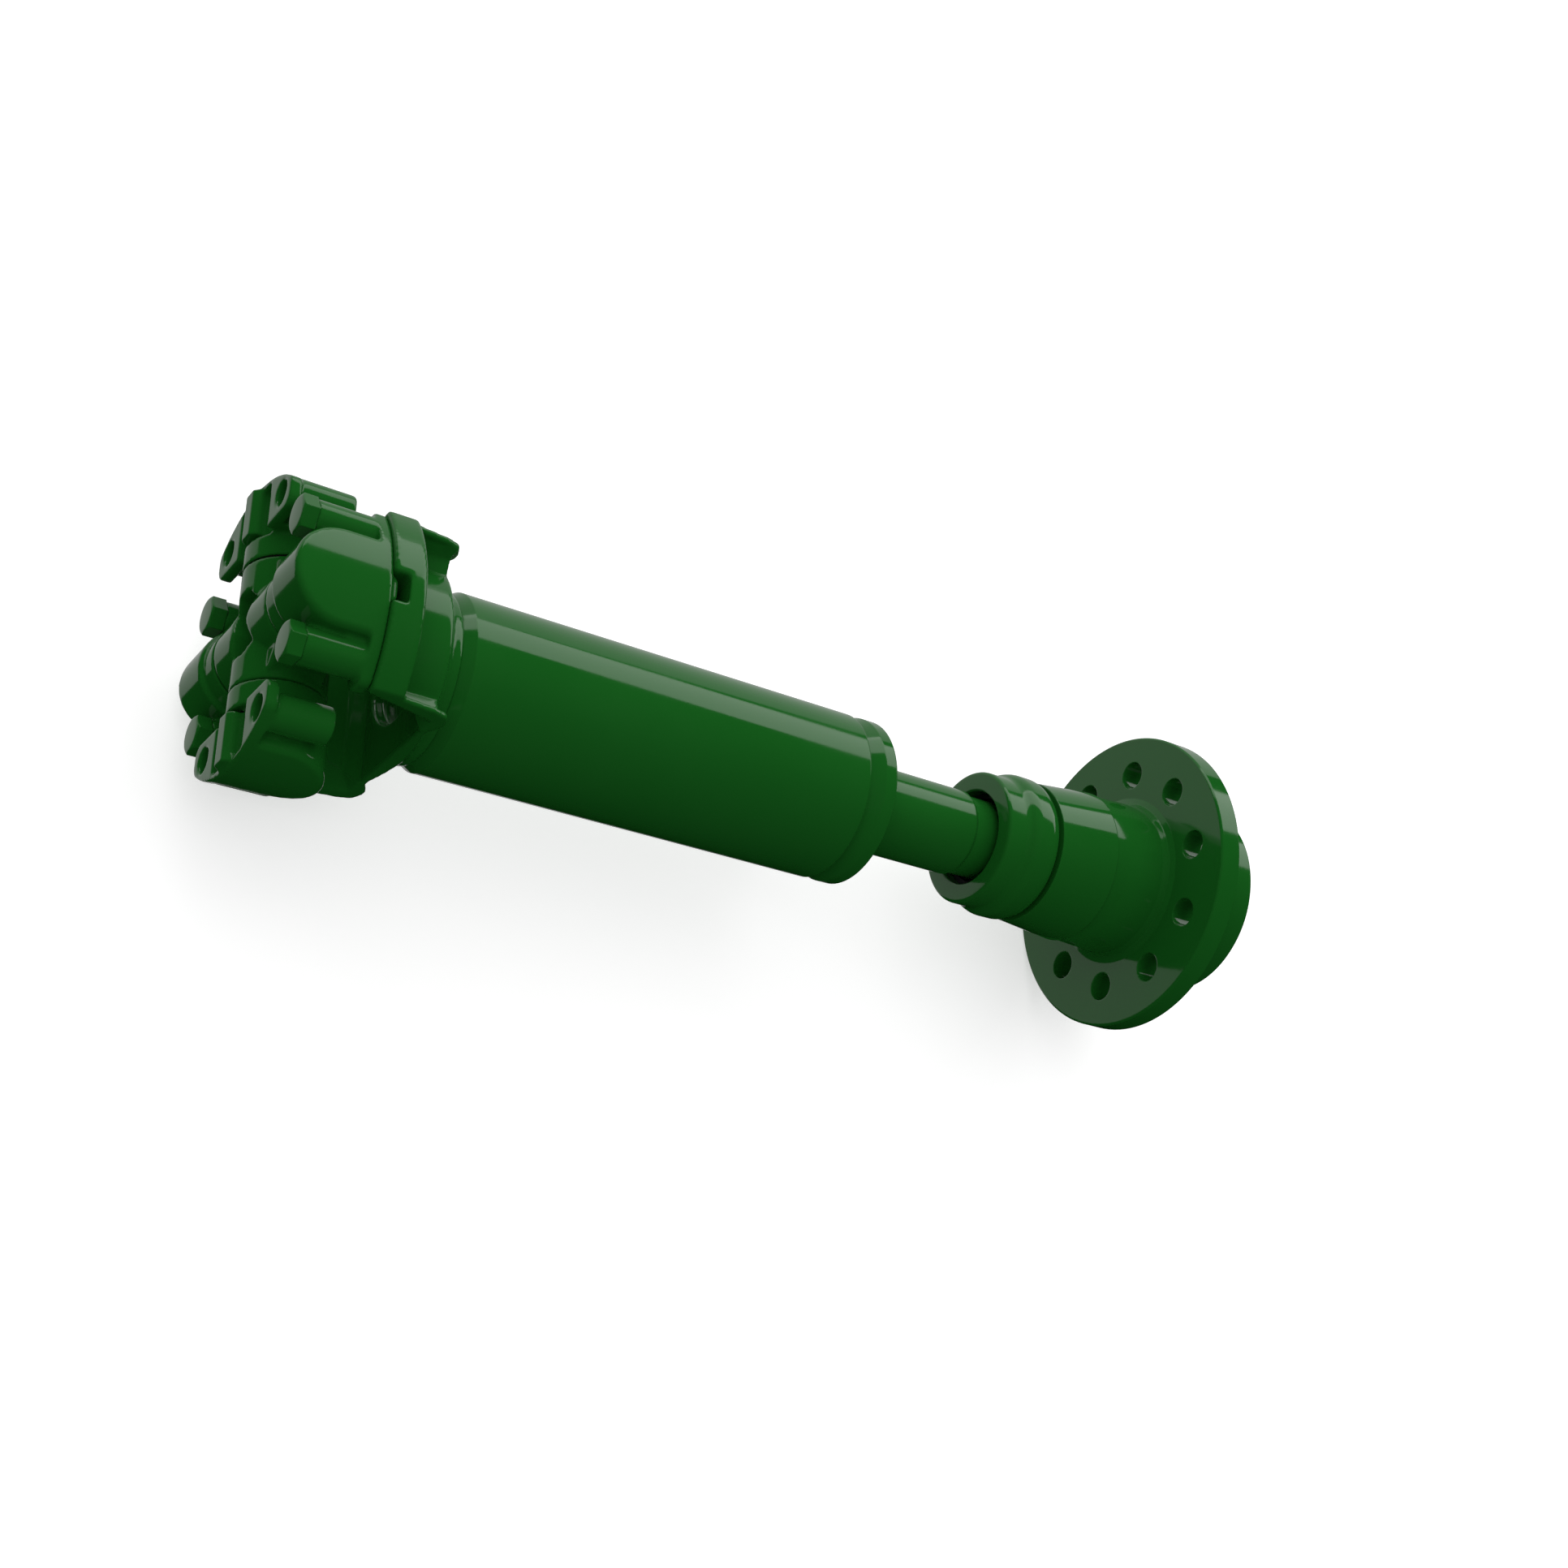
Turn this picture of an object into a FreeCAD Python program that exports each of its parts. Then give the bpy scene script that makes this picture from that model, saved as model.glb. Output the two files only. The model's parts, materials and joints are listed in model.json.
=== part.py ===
import FreeCAD, Part
import math
import os
import re

import Sketcher
from FreeCAD import Placement, Rotation, Vector

# Drive shaft with one universal joint and a slip hub, millimetres.
# X runs along the shaft and points out of the flange, Z points up, and the
# origin is the centre of the flange's mounting face. The joint's bolted
# bearing caps stand up and down along Z, its free caps lie along Y.

# Driving sizes: one row each, name and value in millimetres, counts or degrees
SIZES = {
    # flanged slip hub
    "flange_radius": 95.2,
    "flange_thick": 15.4,
    "flange_edge": 1.0,
    "bolt_margin": 25.45,
    "bolt_hole_radius": 9.0,
    "bolt_hole_count": 10,
    "pilot_clear": 0.1,
    "pilot_length": 46.0,
    "pilot_edge": 2.0,
    "neck_length": 42.1,
    "neck_radius": 47.0,
    "neck_growth": 2.0,
    "neck_fillet": 5.4,
    "hub_length": 40.9,
    "hub_step": 1.4,
    "hub_taper": 4.1,
    "nose_length": 31.6,
    "nose_radius": 37.6,
    # spline between the hub and the stub shaft
    "spline_outer": 24.5,
    "spline_inner": 21.5,
    "spline_tooth": 4.6,
    "spline_count": 16,
    "spline_gap": 0.15,
    "spline_root": 2.0,
    "spline_relief": 1.0,
    "spline_start": 92.0,
    "spline_stop": 24.0,
    "shaft_reach": 12.0,
    "slide_travel": 40.0,
    # dust cap, wiper and end plug of the hub
    "cap_front": 8.6,
    "cap_radius": 41.75,
    "cap_hole_radius": 29.6,
    "cap_round": 2.2,
    "cap_mouth": 0.8,
    "cap_skirt": 15.0,
    "bead_radius": 45.4,
    "bead_length": 22.4,
    "bead_taper": 2.4,
    "seat_gap": 0.05,
    "wiper_width": 5.0,
    "wiper_radius": 33.0,
    "wiper_gap": 0.3,
    "shank_gap": 0.7,
    "plug_radius": 28.0,
    "plug_thick": 4.0,
    "plug_depth": 5.0,
    # stub shaft
    "bare_length": 91.55,
    "shank_radius": 26.5,
    "shank_run": 77.6,
    "shank_chamfer": 3.0,
    "teeth_gap": 1.5,
    "shank_fillet": 2.5,
    "ring_width": 7.5,
    "groove_slope": 8.2,
    "groove_land": 3.0,
    "groove_depth": 3.6,
    "spigot_length": 23.0,
    "recess_radius": 34.0,
    "recess_depth": 26.0,
    # tube
    "tube_radius": 50.0,
    "tube_wall": 6.0,
    "tube_length": 258.75,
    "tube_bevel": 6.5,
    # tube yoke
    "ear_margin": 3.0,
    "ear_thick": 17.8,
    "ear_edge": 1.5,
    "ear_gap": 0.1,
    "yoke_half_width": 51.0,
    "body_radius": 59.4,
    "body_length": 25.8,
    "slot_depth": 62.5,
    "slot_corner": 7.0,
    "slot_step": 5.9,
    "slot_bore_inset": 14.0,
    "slot_bore_depth": 7.5,
    "relief_start_width": 39.0,
    "relief_front_rise": 12.6,
    "relief_back_rise": 1.1,
    "relief_angle": 45.0,
    "shoulder_length": 4.6,
    "neck_land": 7.15,
    "weld_neck_radius": 49.0,
    "neck_draft": 1.0,
    "rib_inset": 20.5,
    "rib_drop": 3.0,
    "rib_thick": 3.5,
    "rib_reach": 3.6,
    "rib_nose_depth": 18.0,
    "rib_round": 9.5,
    "rib_root_width": 12.0,
    "rib_root_top": 6.0,
    "rib_root_foot": 16.5,
    "notch_width": 15.8,
    "notch_depth": 8.5,
    # bearing caps
    "swing_radius": 81.0,
    "swing_trim": 20.0,
    "base_offset": 23.0,
    "seat_offset": 14.5,
    "barrel_radius": 27.0,
    "barrel_round": 1.8,
    "skirt_length": 13.0,
    "skirt_radius": 24.8,
    "pad_depth": 32.2,
    "pad_half_width": 49.0,
    "pad_thick": 6.5,
    "pad_round": 7.0,
    "pad_tip_round": 6.0,
    "boss_radius": 10.0,
    "web_depth": 10.0,
    "web_half_width": 8.0,
    "bolt_spread": 71.4,
    "bolt_inset": 19.7,
    "cap_bolt_hole": 6.75,
    "key_width": 15.2,
    "key_height": 4.0,
    "key_inset": 2.5,
    "key_edge": 3.0,
    "relief_half_width": 19.5,
    "relief_depth": 4.5,
    "relief_inset": 5.0,
    # cap bolts
    "bolt_radius": 6.35,
    "thread_gap": 0.05,
    "head_flats": 19.05,
    "head_height": 8.6,
    "bolt_grip": 52.0,
    # cross and its bearings
    "boss_gap": 0.6,
    "cross_boss_radius": 24.6,
    "trunnion_radius": 14.0,
    "cap_end": 15.0,
    "cross_web": 15.0,
    "cross_web_inset": 4.0,
    "cross_waist": 0.73,
    "cross_recess_long": 18.5,
    "cross_recess_wide": 12.5,
    "cross_recess_waist": 8.5,
    "cross_recess_depth": 15.0,
    "needle_radius": 2.4,
    "needle_count": 20,
    "needle_sides": 6,
    "washer_sides": 24,
    "seal_sides": 36,
    "needle_end_gap": 0.3,
    "running_gap": 0.08,
    "washer_thick": 2.0,
    "seal_radius": 23.0,
    "seal_depth": 4.0,
    "seal_gap": 0.3,
    "seal_lip": 0.25,
    # how far a cut starts outside what it cuts
    "overrun": 1.0,
}

doc = FreeCAD.newDocument("drive_shaft")
sheet = doc.addObject("Spreadsheet::Sheet", "sizes")
for row, (alias, number) in enumerate(SIZES.items(), start=1):
    sheet.set("A%d" % row, alias)
    sheet.set("B%d" % row, repr(number))
    sheet.setAlias("B%d" % row, alias)
doc.recompute()


class Size:
    """A number together with the sheet expression it comes from."""

    def __init__(self, text, number):
        self.text = text
        self.number = number

    def __add__(self, other):
        other = as_size(other)
        return Size("(%s + %s)" % (self.text, other.text), self.number + other.number)

    def __sub__(self, other):
        other = as_size(other)
        return Size("(%s - %s)" % (self.text, other.text), self.number - other.number)

    def __mul__(self, other):
        other = as_size(other)
        return Size("(%s * %s)" % (self.text, other.text), self.number * other.number)

    def __truediv__(self, other):
        other = as_size(other)
        return Size("(%s / %s)" % (self.text, other.text), self.number / other.number)

    def __neg__(self):
        return Size("(0 - %s)" % self.text, -self.number)

    __radd__ = __add__

    def __rsub__(self, other):
        return as_size(other) - self


def as_size(value):
    """Makes a Size of a plain number, and leaves a Size as it is."""
    if isinstance(value, Size):
        return value
    return Size(repr(value), value)


def cell(alias):
    """The Size that one cell of the sheet holds."""
    return Size("sizes." + alias, float(sheet.get(alias)))


def bind(thing, path, size):
    """Ties one property of an object to its sheet expression."""
    thing.setExpression(path, as_size(size).text)


# Sketches and features

PLANES = {"along": "XY_Plane", "side": "XZ_Plane", "across": "YZ_Plane"}


def new_body(label):
    """An empty body whose label names its file."""
    body = doc.addObject("PartDesign::Body", label)
    body.Label = label
    return body


def new_sketch(body, name, plane, height=0):
    """A sketch on one origin plane of its body, moved along the plane's normal."""
    role = PLANES[plane]
    support = [item for item in body.Origin.OriginFeatures if item.Role == role][0]
    sketch = body.newObject("Sketcher::SketchObject", name)
    sketch.AttachmentSupport = [(support, "")]
    sketch.MapMode = "FlatFace"
    bind(sketch, "AttachmentOffset.Base.z", height)
    return sketch


def pin_point(sketch, geometry, point, across, up):
    """Fixes one point of a sketch at its two sizes."""
    for kind, size in (("DistanceX", as_size(across)), ("DistanceY", as_size(up))):
        if size.text == "0":
            axis = -2 if kind == "DistanceX" else -1
            sketch.addConstraint(Sketcher.Constraint("PointOnObject", geometry, point, axis))
            continue
        index = sketch.addConstraint(
            Sketcher.Constraint(kind, -1, 1, geometry, point, size.number)
        )
        bind(sketch, "Constraints[%d]" % index, size)


def draw_outline(sketch, corners):
    """A closed outline of straight lines through its corners, in order."""
    spots = [
        Vector(as_size(across).number, as_size(up).number, 0) for across, up in corners
    ]
    first = sketch.GeometryCount
    count = len(spots)
    for index in range(count):
        line = Part.LineSegment(spots[index], spots[(index + 1) % count])
        sketch.addGeometry(line, False)
    for index in range(count):
        sketch.addConstraint(
            Sketcher.Constraint(
                "Coincident", first + index, 2, first + (index + 1) % count, 1
            )
        )
    for index, (across, up) in enumerate(corners):
        pin_point(sketch, first + index, 1, across, up)


def draw_box(sketch, left, right, low, high):
    """A rectangle between two across and two up sizes."""
    draw_outline(sketch, [(left, low), (right, low), (right, high), (left, high)])


def draw_circle(sketch, across, up, radius):
    """A circle round its centre point."""
    radius = as_size(radius)
    centre = Vector(as_size(across).number, as_size(up).number, 0)
    circle = Part.Circle(centre, Vector(0, 0, 1), radius.number)
    index = sketch.addGeometry(circle, False)
    pin_point(sketch, index, 3, across, up)
    measure = sketch.addConstraint(Sketcher.Constraint("Radius", index, radius.number))
    bind(sketch, "Constraints[%d]" % measure, radius)


def turned(body, name, corners):
    """A body of revolution about X, its corners given as along and radius."""
    sketch = new_sketch(body, name + "_profile", "along")
    draw_outline(sketch, corners)
    feature = body.newObject("PartDesign::Revolution", name)
    feature.Profile = sketch
    feature.ReferenceAxis = (sketch, ["H_Axis"])
    feature.Angle = 360
    doc.recompute()
    return feature


def turned_cut(body, name, corners):
    """Cuts a ring about X away from a body."""
    sketch = new_sketch(body, name + "_profile", "along")
    draw_outline(sketch, corners)
    before = body.Shape.Volume
    feature = body.newObject("PartDesign::Groove", name)
    feature.Profile = sketch
    feature.ReferenceAxis = (sketch, ["H_Axis"])
    feature.Angle = 360
    doc.recompute()
    expect(body.Shape.Volume < before, name + " cuts nothing")
    return feature


def pad(body, name, sketch, length):
    """Adds the sketch's area along the sketch's normal."""
    feature = body.newObject("PartDesign::Pad", name)
    feature.Profile = sketch
    bind(feature, "Length", length)
    doc.recompute()
    return feature


def pocket(body, name, sketch, length, forward=True):
    """Cuts the sketch's area along the sketch's normal, or against it."""
    before = body.Shape.Volume
    feature = body.newObject("PartDesign::Pocket", name)
    feature.Profile = sketch
    feature.Reversed = forward
    bind(feature, "Length", length)
    doc.recompute()
    expect(body.Shape.Volume < before, name + " cuts nothing")
    return feature


def ring_pattern(body, name, feature, sketch, count):
    """Repeats a feature about X, the normal of its sketch."""
    pattern = body.newObject("PartDesign::PolarPattern", name)
    pattern.Originals = [feature]
    pattern.Axis = (sketch, ["N_Axis"])
    pattern.Angle = 360
    bind(pattern, "Occurrences", count)
    body.Tip = pattern
    doc.recompute()
    return pattern


def dress(body, name, kind, chosen, size):
    """Rounds or bevels the edges that a rule picks."""
    base = body.Tip
    names = [
        "Edge%d" % (index + 1)
        for index, edge in enumerate(base.Shape.Edges)
        if chosen(edge)
    ]
    expect(names, name + " finds no edge")
    feature = body.newObject("PartDesign::" + kind, name)
    feature.Base = (base, names)
    bind(feature, "Radius" if kind == "Fillet" else "Size", size)
    doc.recompute()
    expect(not feature.Shape.isNull() and feature.Shape.isValid(), name + " fails")
    return feature


def middle(edge):
    """The point halfway along an edge."""
    return edge.valueAt((edge.FirstParameter + edge.LastParameter) / 2)


def on_swing(edge):
    """Whether an edge lies on the surface the caps' ends are turned to."""
    spots = [middle(edge)] + [vertex.Point for vertex in edge.Vertexes]
    return all(near(math.hypot(spot.y, spot.z), cell("swing_radius")) for spot in spots)


def expect(truth, message):
    """Stops the build when something that must hold doesn't."""
    if not truth:
        raise RuntimeError(message)


def near(value, size):
    """Whether a measured value is at a size."""
    return abs(value - as_size(size).number) < 1e-3


def round_edge(radius, along):
    """A rule for the circle of one radius about X at one station."""
    return lambda edge: (
        isinstance(edge.Curve, Part.Circle)
        and near(edge.Curve.Radius, radius)
        and near(edge.Curve.Center.x, along)
    )


# Sizes that follow from others: the flange's circles, then the joint's heights,
# which all follow from the radius that the joint swings in
BOLT_CIRCLE = cell("flange_radius") - cell("bolt_margin")
PILOT_RADIUS = BOLT_CIRCLE - cell("bolt_hole_radius") - cell("pilot_clear")
EAR_RADIUS = cell("swing_radius") + cell("ear_margin")
PAD_INNER = cell("swing_radius") - cell("pad_depth")
SKIRT_START = PAD_INNER - cell("skirt_length")
BOSS_FACE = SKIRT_START - cell("boss_gap")
BOLT_HEIGHT = cell("swing_radius") - cell("bolt_inset")
TRUNNION_TIP = cell("swing_radius") - cell("cap_end")
EAR_SLOT = PAD_INNER + cell("ear_gap")
SLOT_BACK = EAR_SLOT - cell("slot_step")
RIB_HEIGHT = EAR_RADIUS - cell("rib_inset")
OVERRUN = cell("overrun")
# a quarter round drawn with two chords has its middle point this far in
ROUND_SHARE = 1 - math.sqrt(0.5)

# Stations along X, all worked out from the sheet

CAP_FACE = -(
    cell("flange_thick") + cell("neck_length") + cell("hub_length")
    + cell("nose_length") + cell("cap_front")
)
NOSE_FACE = CAP_FACE + cell("cap_front")
HUB_FRONT = NOSE_FACE + cell("nose_length")
NECK_FRONT = HUB_FRONT + cell("hub_length")
FLANGE_FRONT = -cell("flange_thick")
RING_FACE = CAP_FACE - cell("bare_length")
TUBE_RIGHT = (
    RING_FACE - cell("ring_width") - cell("groove_slope") - cell("groove_land")
)
TUBE_LEFT = TUBE_RIGHT - cell("tube_length")
YOKE_DEPTH = (
    cell("base_offset") + cell("ear_thick") + cell("body_length")
    + cell("shoulder_length") + cell("neck_land")
)
JOINT = TUBE_LEFT - YOKE_DEPTH


def slip_hub():
    """Flange, neck, hub, nose and pilot: one forging with a splined bore."""
    body = new_body("slip_hub")
    hub_radius = cell("neck_radius") + cell("hub_step")
    bore = cell("spline_inner") + cell("spline_gap")
    counterbore = cell("shank_radius") + cell("shank_gap")
    wiper_seat = cell("wiper_radius") + cell("seat_gap")
    wiper_floor = NOSE_FACE + cell("wiper_width") + cell("seat_gap")
    plug_floor = cell("pilot_length") - cell("plug_depth") - cell("plug_thick")
    plug_seat = cell("plug_radius") + cell("seat_gap")
    fillet = cell("neck_fillet")
    neck_foot = cell("neck_radius") + cell("neck_growth")
    turned(body, "hub_turning", [
        (NOSE_FACE, wiper_seat),
        (NOSE_FACE, cell("nose_radius")),
        (HUB_FRONT, cell("nose_radius")),
        (HUB_FRONT, hub_radius - cell("hub_taper")),
        (NECK_FRONT, hub_radius),
        (NECK_FRONT, cell("neck_radius")),
        (FLANGE_FRONT - fillet, neck_foot),
        (FLANGE_FRONT - fillet * ROUND_SHARE, neck_foot + fillet * ROUND_SHARE),
        (FLANGE_FRONT, neck_foot + fillet),
        (FLANGE_FRONT, cell("flange_radius")),
        (0, cell("flange_radius")),
        (0, PILOT_RADIUS),
        (cell("pilot_length"), PILOT_RADIUS),
        (cell("pilot_length"), plug_seat),
        (plug_floor, plug_seat),
        (plug_floor, cell("spline_outer") + cell("spline_relief")),
        (cell("spline_stop"), cell("spline_outer") + cell("spline_relief")),
        (cell("spline_stop"), bore),
        (-cell("spline_start"), bore),
        (-cell("spline_start"), counterbore),
        (wiper_floor, counterbore),
        (wiper_floor, wiper_seat),
    ])
    groove = new_sketch(
        body, "spline_groove", "across", -cell("spline_start") - OVERRUN
    )
    half = cell("spline_tooth") / 2 + cell("spline_gap")
    draw_box(
        groove, -half, half, cell("spline_inner") - cell("spline_root"),
        cell("spline_outer") + cell("spline_gap"),
    )
    cut = pocket(
        body, "spline_cut", groove, cell("spline_start") + cell("spline_stop") + OVERRUN * 2
    )
    ring_pattern(body, "spline_bore", cut, groove, cell("spline_count"))
    holes = new_sketch(body, "bolt_hole_circle", "across", FLANGE_FRONT - OVERRUN)
    draw_circle(holes, 0, BOLT_CIRCLE, cell("bolt_hole_radius"))
    hole = pocket(body, "bolt_hole", holes, cell("flange_thick") + OVERRUN * 2)
    ring_pattern(body, "bolt_holes", hole, holes, cell("bolt_hole_count"))
    dress(
        body, "flange_bevel", "Chamfer",
        lambda edge: round_edge(cell("flange_radius"), FLANGE_FRONT)(edge)
        or round_edge(cell("flange_radius"), 0)(edge),
        cell("flange_edge"),
    )
    dress(
        body, "pilot_bevel", "Chamfer",
        round_edge(PILOT_RADIUS, cell("pilot_length")), cell("pilot_edge"),
    )
    return body


def dust_cap():
    """Turned cap pressed over the hub's nose, with a bead at its skirt."""
    body = new_body("dust_cap")
    inner = cell("nose_radius") + cell("seat_gap")
    bead_start = CAP_FACE + cell("cap_skirt")
    bead_stop = bead_start + cell("bead_length")
    shoulder = cell("bead_length") / 4
    rim = cell("cap_round")
    turned(body, "dust_cap_turning", [
        (CAP_FACE, cell("cap_hole_radius") + cell("cap_mouth")),
        (CAP_FACE, cell("cap_radius") - rim),
        (CAP_FACE + rim, cell("cap_radius")),
        (bead_start, cell("cap_radius")),
        (bead_start + shoulder, cell("bead_radius")),
        (bead_stop - shoulder, cell("bead_radius")),
        (bead_stop, cell("bead_radius") - cell("bead_taper")),
        (bead_stop, inner),
        (NOSE_FACE, inner),
        (NOSE_FACE, cell("cap_hole_radius")),
        (CAP_FACE + cell("cap_mouth"), cell("cap_hole_radius")),
    ])
    return body


def wiper_seal():
    """Felt ring in the nose, wiping the smooth shank when the shaft slides in."""
    body = new_body("wiper_seal")
    inner = cell("shank_radius") + cell("wiper_gap")
    turned(body, "wiper_turning", [
        (NOSE_FACE, inner),
        (NOSE_FACE, cell("wiper_radius")),
        (NOSE_FACE + cell("wiper_width"), cell("wiper_radius")),
        (NOSE_FACE + cell("wiper_width"), inner),
    ])
    return body


def end_plug():
    """Pressed plug that closes the hub's bore."""
    body = new_body("end_plug")
    back = cell("pilot_length") - cell("plug_depth")
    front = back - cell("plug_thick")
    turned(body, "end_plug_turning", [
        (front, 0),
        (front, cell("plug_radius")),
        (back, cell("plug_radius")),
        (back, 0),
    ])
    return body


def stub_shaft():
    """Slip stub: weld ring, smooth shank and splined end in one forging."""
    body = new_body("stub_shaft")
    shank_end = RING_FACE + cell("shank_run")
    cone_end = shank_end + cell("shank_chamfer")
    # a plain land before the teeth, short of the bore when the shaft slides in
    land_end = -cell("spline_start") - cell("slide_travel") - cell("teeth_gap")
    slope_start = RING_FACE - cell("ring_width")
    slope_end = slope_start - cell("groove_slope")
    groove_radius = cell("tube_radius") - cell("groove_depth")
    spigot = cell("tube_radius") - cell("tube_wall") - cell("seat_gap")
    spigot_end = TUBE_RIGHT - cell("spigot_length")
    floor = spigot_end + cell("recess_depth")
    turned(body, "stub_turning", [
        (-cell("shaft_reach"), 0),
        (-cell("shaft_reach"), cell("spline_inner")),
        (land_end, cell("spline_inner")),
        (land_end, cell("spline_outer")),
        (cone_end, cell("spline_outer")),
        (shank_end, cell("shank_radius")),
        (RING_FACE + cell("shank_fillet"), cell("shank_radius")),
        (RING_FACE, cell("shank_radius") + cell("shank_fillet")),
        (RING_FACE, cell("tube_radius")),
        (slope_start, cell("tube_radius")),
        (slope_end, groove_radius),
        (TUBE_RIGHT, groove_radius),
        (TUBE_RIGHT, spigot),
        (spigot_end, spigot),
        (spigot_end, cell("recess_radius")),
        (floor, cell("recess_radius")),
        (floor, 0),
    ])
    start = land_end - cell("spline_root")
    tooth = new_sketch(body, "tooth_section", "across", start)
    half = cell("spline_tooth") / 2
    root = cell("spline_inner") - cell("spline_root")
    draw_box(tooth, -half, half, root, cell("spline_outer"))
    one = pad(body, "spline_tooth", tooth, -cell("shaft_reach") - start)
    ring_pattern(body, "spline_teeth", one, tooth, cell("spline_count"))
    return body


def main_tube():
    """Seamless tube, square at the stub's end and bevelled at the yoke's."""
    body = new_body("main_tube")
    inside = cell("tube_radius") - cell("tube_wall")
    low = cell("tube_radius") - cell("groove_depth")
    turned(body, "tube_turning", [
        (TUBE_RIGHT, inside),
        (TUBE_RIGHT, cell("tube_radius")),
        (TUBE_LEFT + cell("tube_bevel"), cell("tube_radius")),
        (TUBE_LEFT, low),
        (TUBE_LEFT, inside),
    ])
    return body


def tube_yoke():
    """Forged weld yoke: two ears on a round body, slotted for the joint."""
    body = new_body("tube_yoke")
    front = JOINT + cell("base_offset")
    ear_back = front + cell("ear_thick")
    body_back = ear_back + cell("body_length")
    shoulder = body_back + cell("shoulder_length")
    spigot = cell("tube_radius") - cell("tube_wall") - cell("seat_gap")
    spigot_end = TUBE_LEFT + cell("spigot_length")
    floor = spigot_end - cell("recess_depth")
    neck_end = cell("weld_neck_radius") - cell("neck_draft")
    turned(body, "yoke_turning", [
        (front, 0),
        (front, EAR_RADIUS),
        (ear_back - cell("ear_edge"), EAR_RADIUS),
        (ear_back, EAR_RADIUS - cell("ear_edge")),
        (ear_back, cell("body_radius")),
        (body_back, cell("body_radius")),
        (shoulder, cell("weld_neck_radius")),
        (TUBE_LEFT, neck_end),
        (TUBE_LEFT, spigot),
        (spigot_end, spigot),
        (spigot_end, cell("recess_radius")),
        (floor, cell("recess_radius")),
        (floor, 0),
    ])
    # stiffening ribs behind the ears, along both flat sides
    for side, name in ((1, "near"), (-1, "far")):
        start = cell("yoke_half_width")
        if side == 1:
            height = -start
        else:
            height = start - cell("rib_thick")
        for up, end in ((1, "top"), (-1, "bottom")):
            rib = new_sketch(body, "rib_%s_%s_outline" % (name, end), "side", height)
            top = RIB_HEIGHT * up
            back = (RIB_HEIGHT - cell("rib_drop")) * up
            low = (RIB_HEIGHT - cell("rib_nose_depth")) * up
            nose = body_back + cell("rib_reach")
            corner = cell("rib_round")
            draw_outline(rib, [
                (ear_back - OVERRUN, low / 2),
                (ear_back - OVERRUN, top),
                (nose - corner, back),
                (nose - corner * ROUND_SHARE, back - corner * ROUND_SHARE * up),
                (nose, back - corner * up),
                (nose, low),
                (body_back, low - cell("rib_reach") * 2 * up),
                (body_back, low / 2),
            ])
            pad(body, "rib_%s_%s" % (name, end), rib, cell("rib_thick"))
    roots = new_sketch(body, "rib_roots_outline", "across", ear_back - OVERRUN)
    inner = cell("yoke_half_width") - cell("rib_thick")
    spread = cell("rib_root_width")
    crest = RIB_HEIGHT - cell("rib_root_top")
    foot = RIB_HEIGHT - cell("rib_root_foot")
    rise = crest - foot
    for side in (1, -1):
        for up in (1, -1):
            draw_outline(roots, [
                ((inner + OVERRUN) * side, (foot - rise) * up),
                ((inner + OVERRUN) * side, crest * up),
                (inner * side, crest * up),
                (
                    (inner - spread * ROUND_SHARE) * side,
                    (foot + rise * ROUND_SHARE) * up,
                ),
                ((inner - spread) * side, foot * up),
                ((inner - spread) * side, (foot - rise) * up),
            ])
    pad(body, "rib_roots", roots, cell("body_length") + OVERRUN)
    # the two sides are milled flat
    sides = new_sketch(body, "side_flats_outline", "across", front - OVERRUN)
    reach = EAR_RADIUS + OVERRUN
    draw_box(sides, cell("yoke_half_width"), reach, -reach, reach)
    draw_box(sides, -reach, -cell("yoke_half_width"), -reach, reach)
    flat_run = cell("ear_thick") + cell("body_length") + cell("shoulder_length")
    pocket(body, "side_flats", sides, flat_run)
    # slot between the ears, where the cross and the free caps swing
    slot = new_sketch(body, "joint_slot_outline", "side", -reach)
    bottom = JOINT + cell("slot_depth")
    corner = cell("slot_corner")
    step = ear_back - cell("slot_step")
    draw_outline(slot, [
        (front - OVERRUN, -EAR_SLOT),
        (step, -EAR_SLOT),
        (ear_back, -SLOT_BACK),
        (bottom - corner, -SLOT_BACK),
        (bottom, -SLOT_BACK + corner),
        (bottom, SLOT_BACK - corner),
        (bottom - corner, SLOT_BACK),
        (ear_back, SLOT_BACK),
        (step, EAR_SLOT),
        (front - OVERRUN, EAR_SLOT),
    ])
    pocket(body, "joint_slot", slot, reach * 2)
    bore = new_sketch(body, "slot_bore_circle", "across", bottom - OVERRUN)
    draw_circle(bore, 0, 0, SLOT_BACK - cell("slot_bore_inset"))
    pocket(body, "slot_bore", bore, cell("slot_bore_depth") + OVERRUN)
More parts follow.
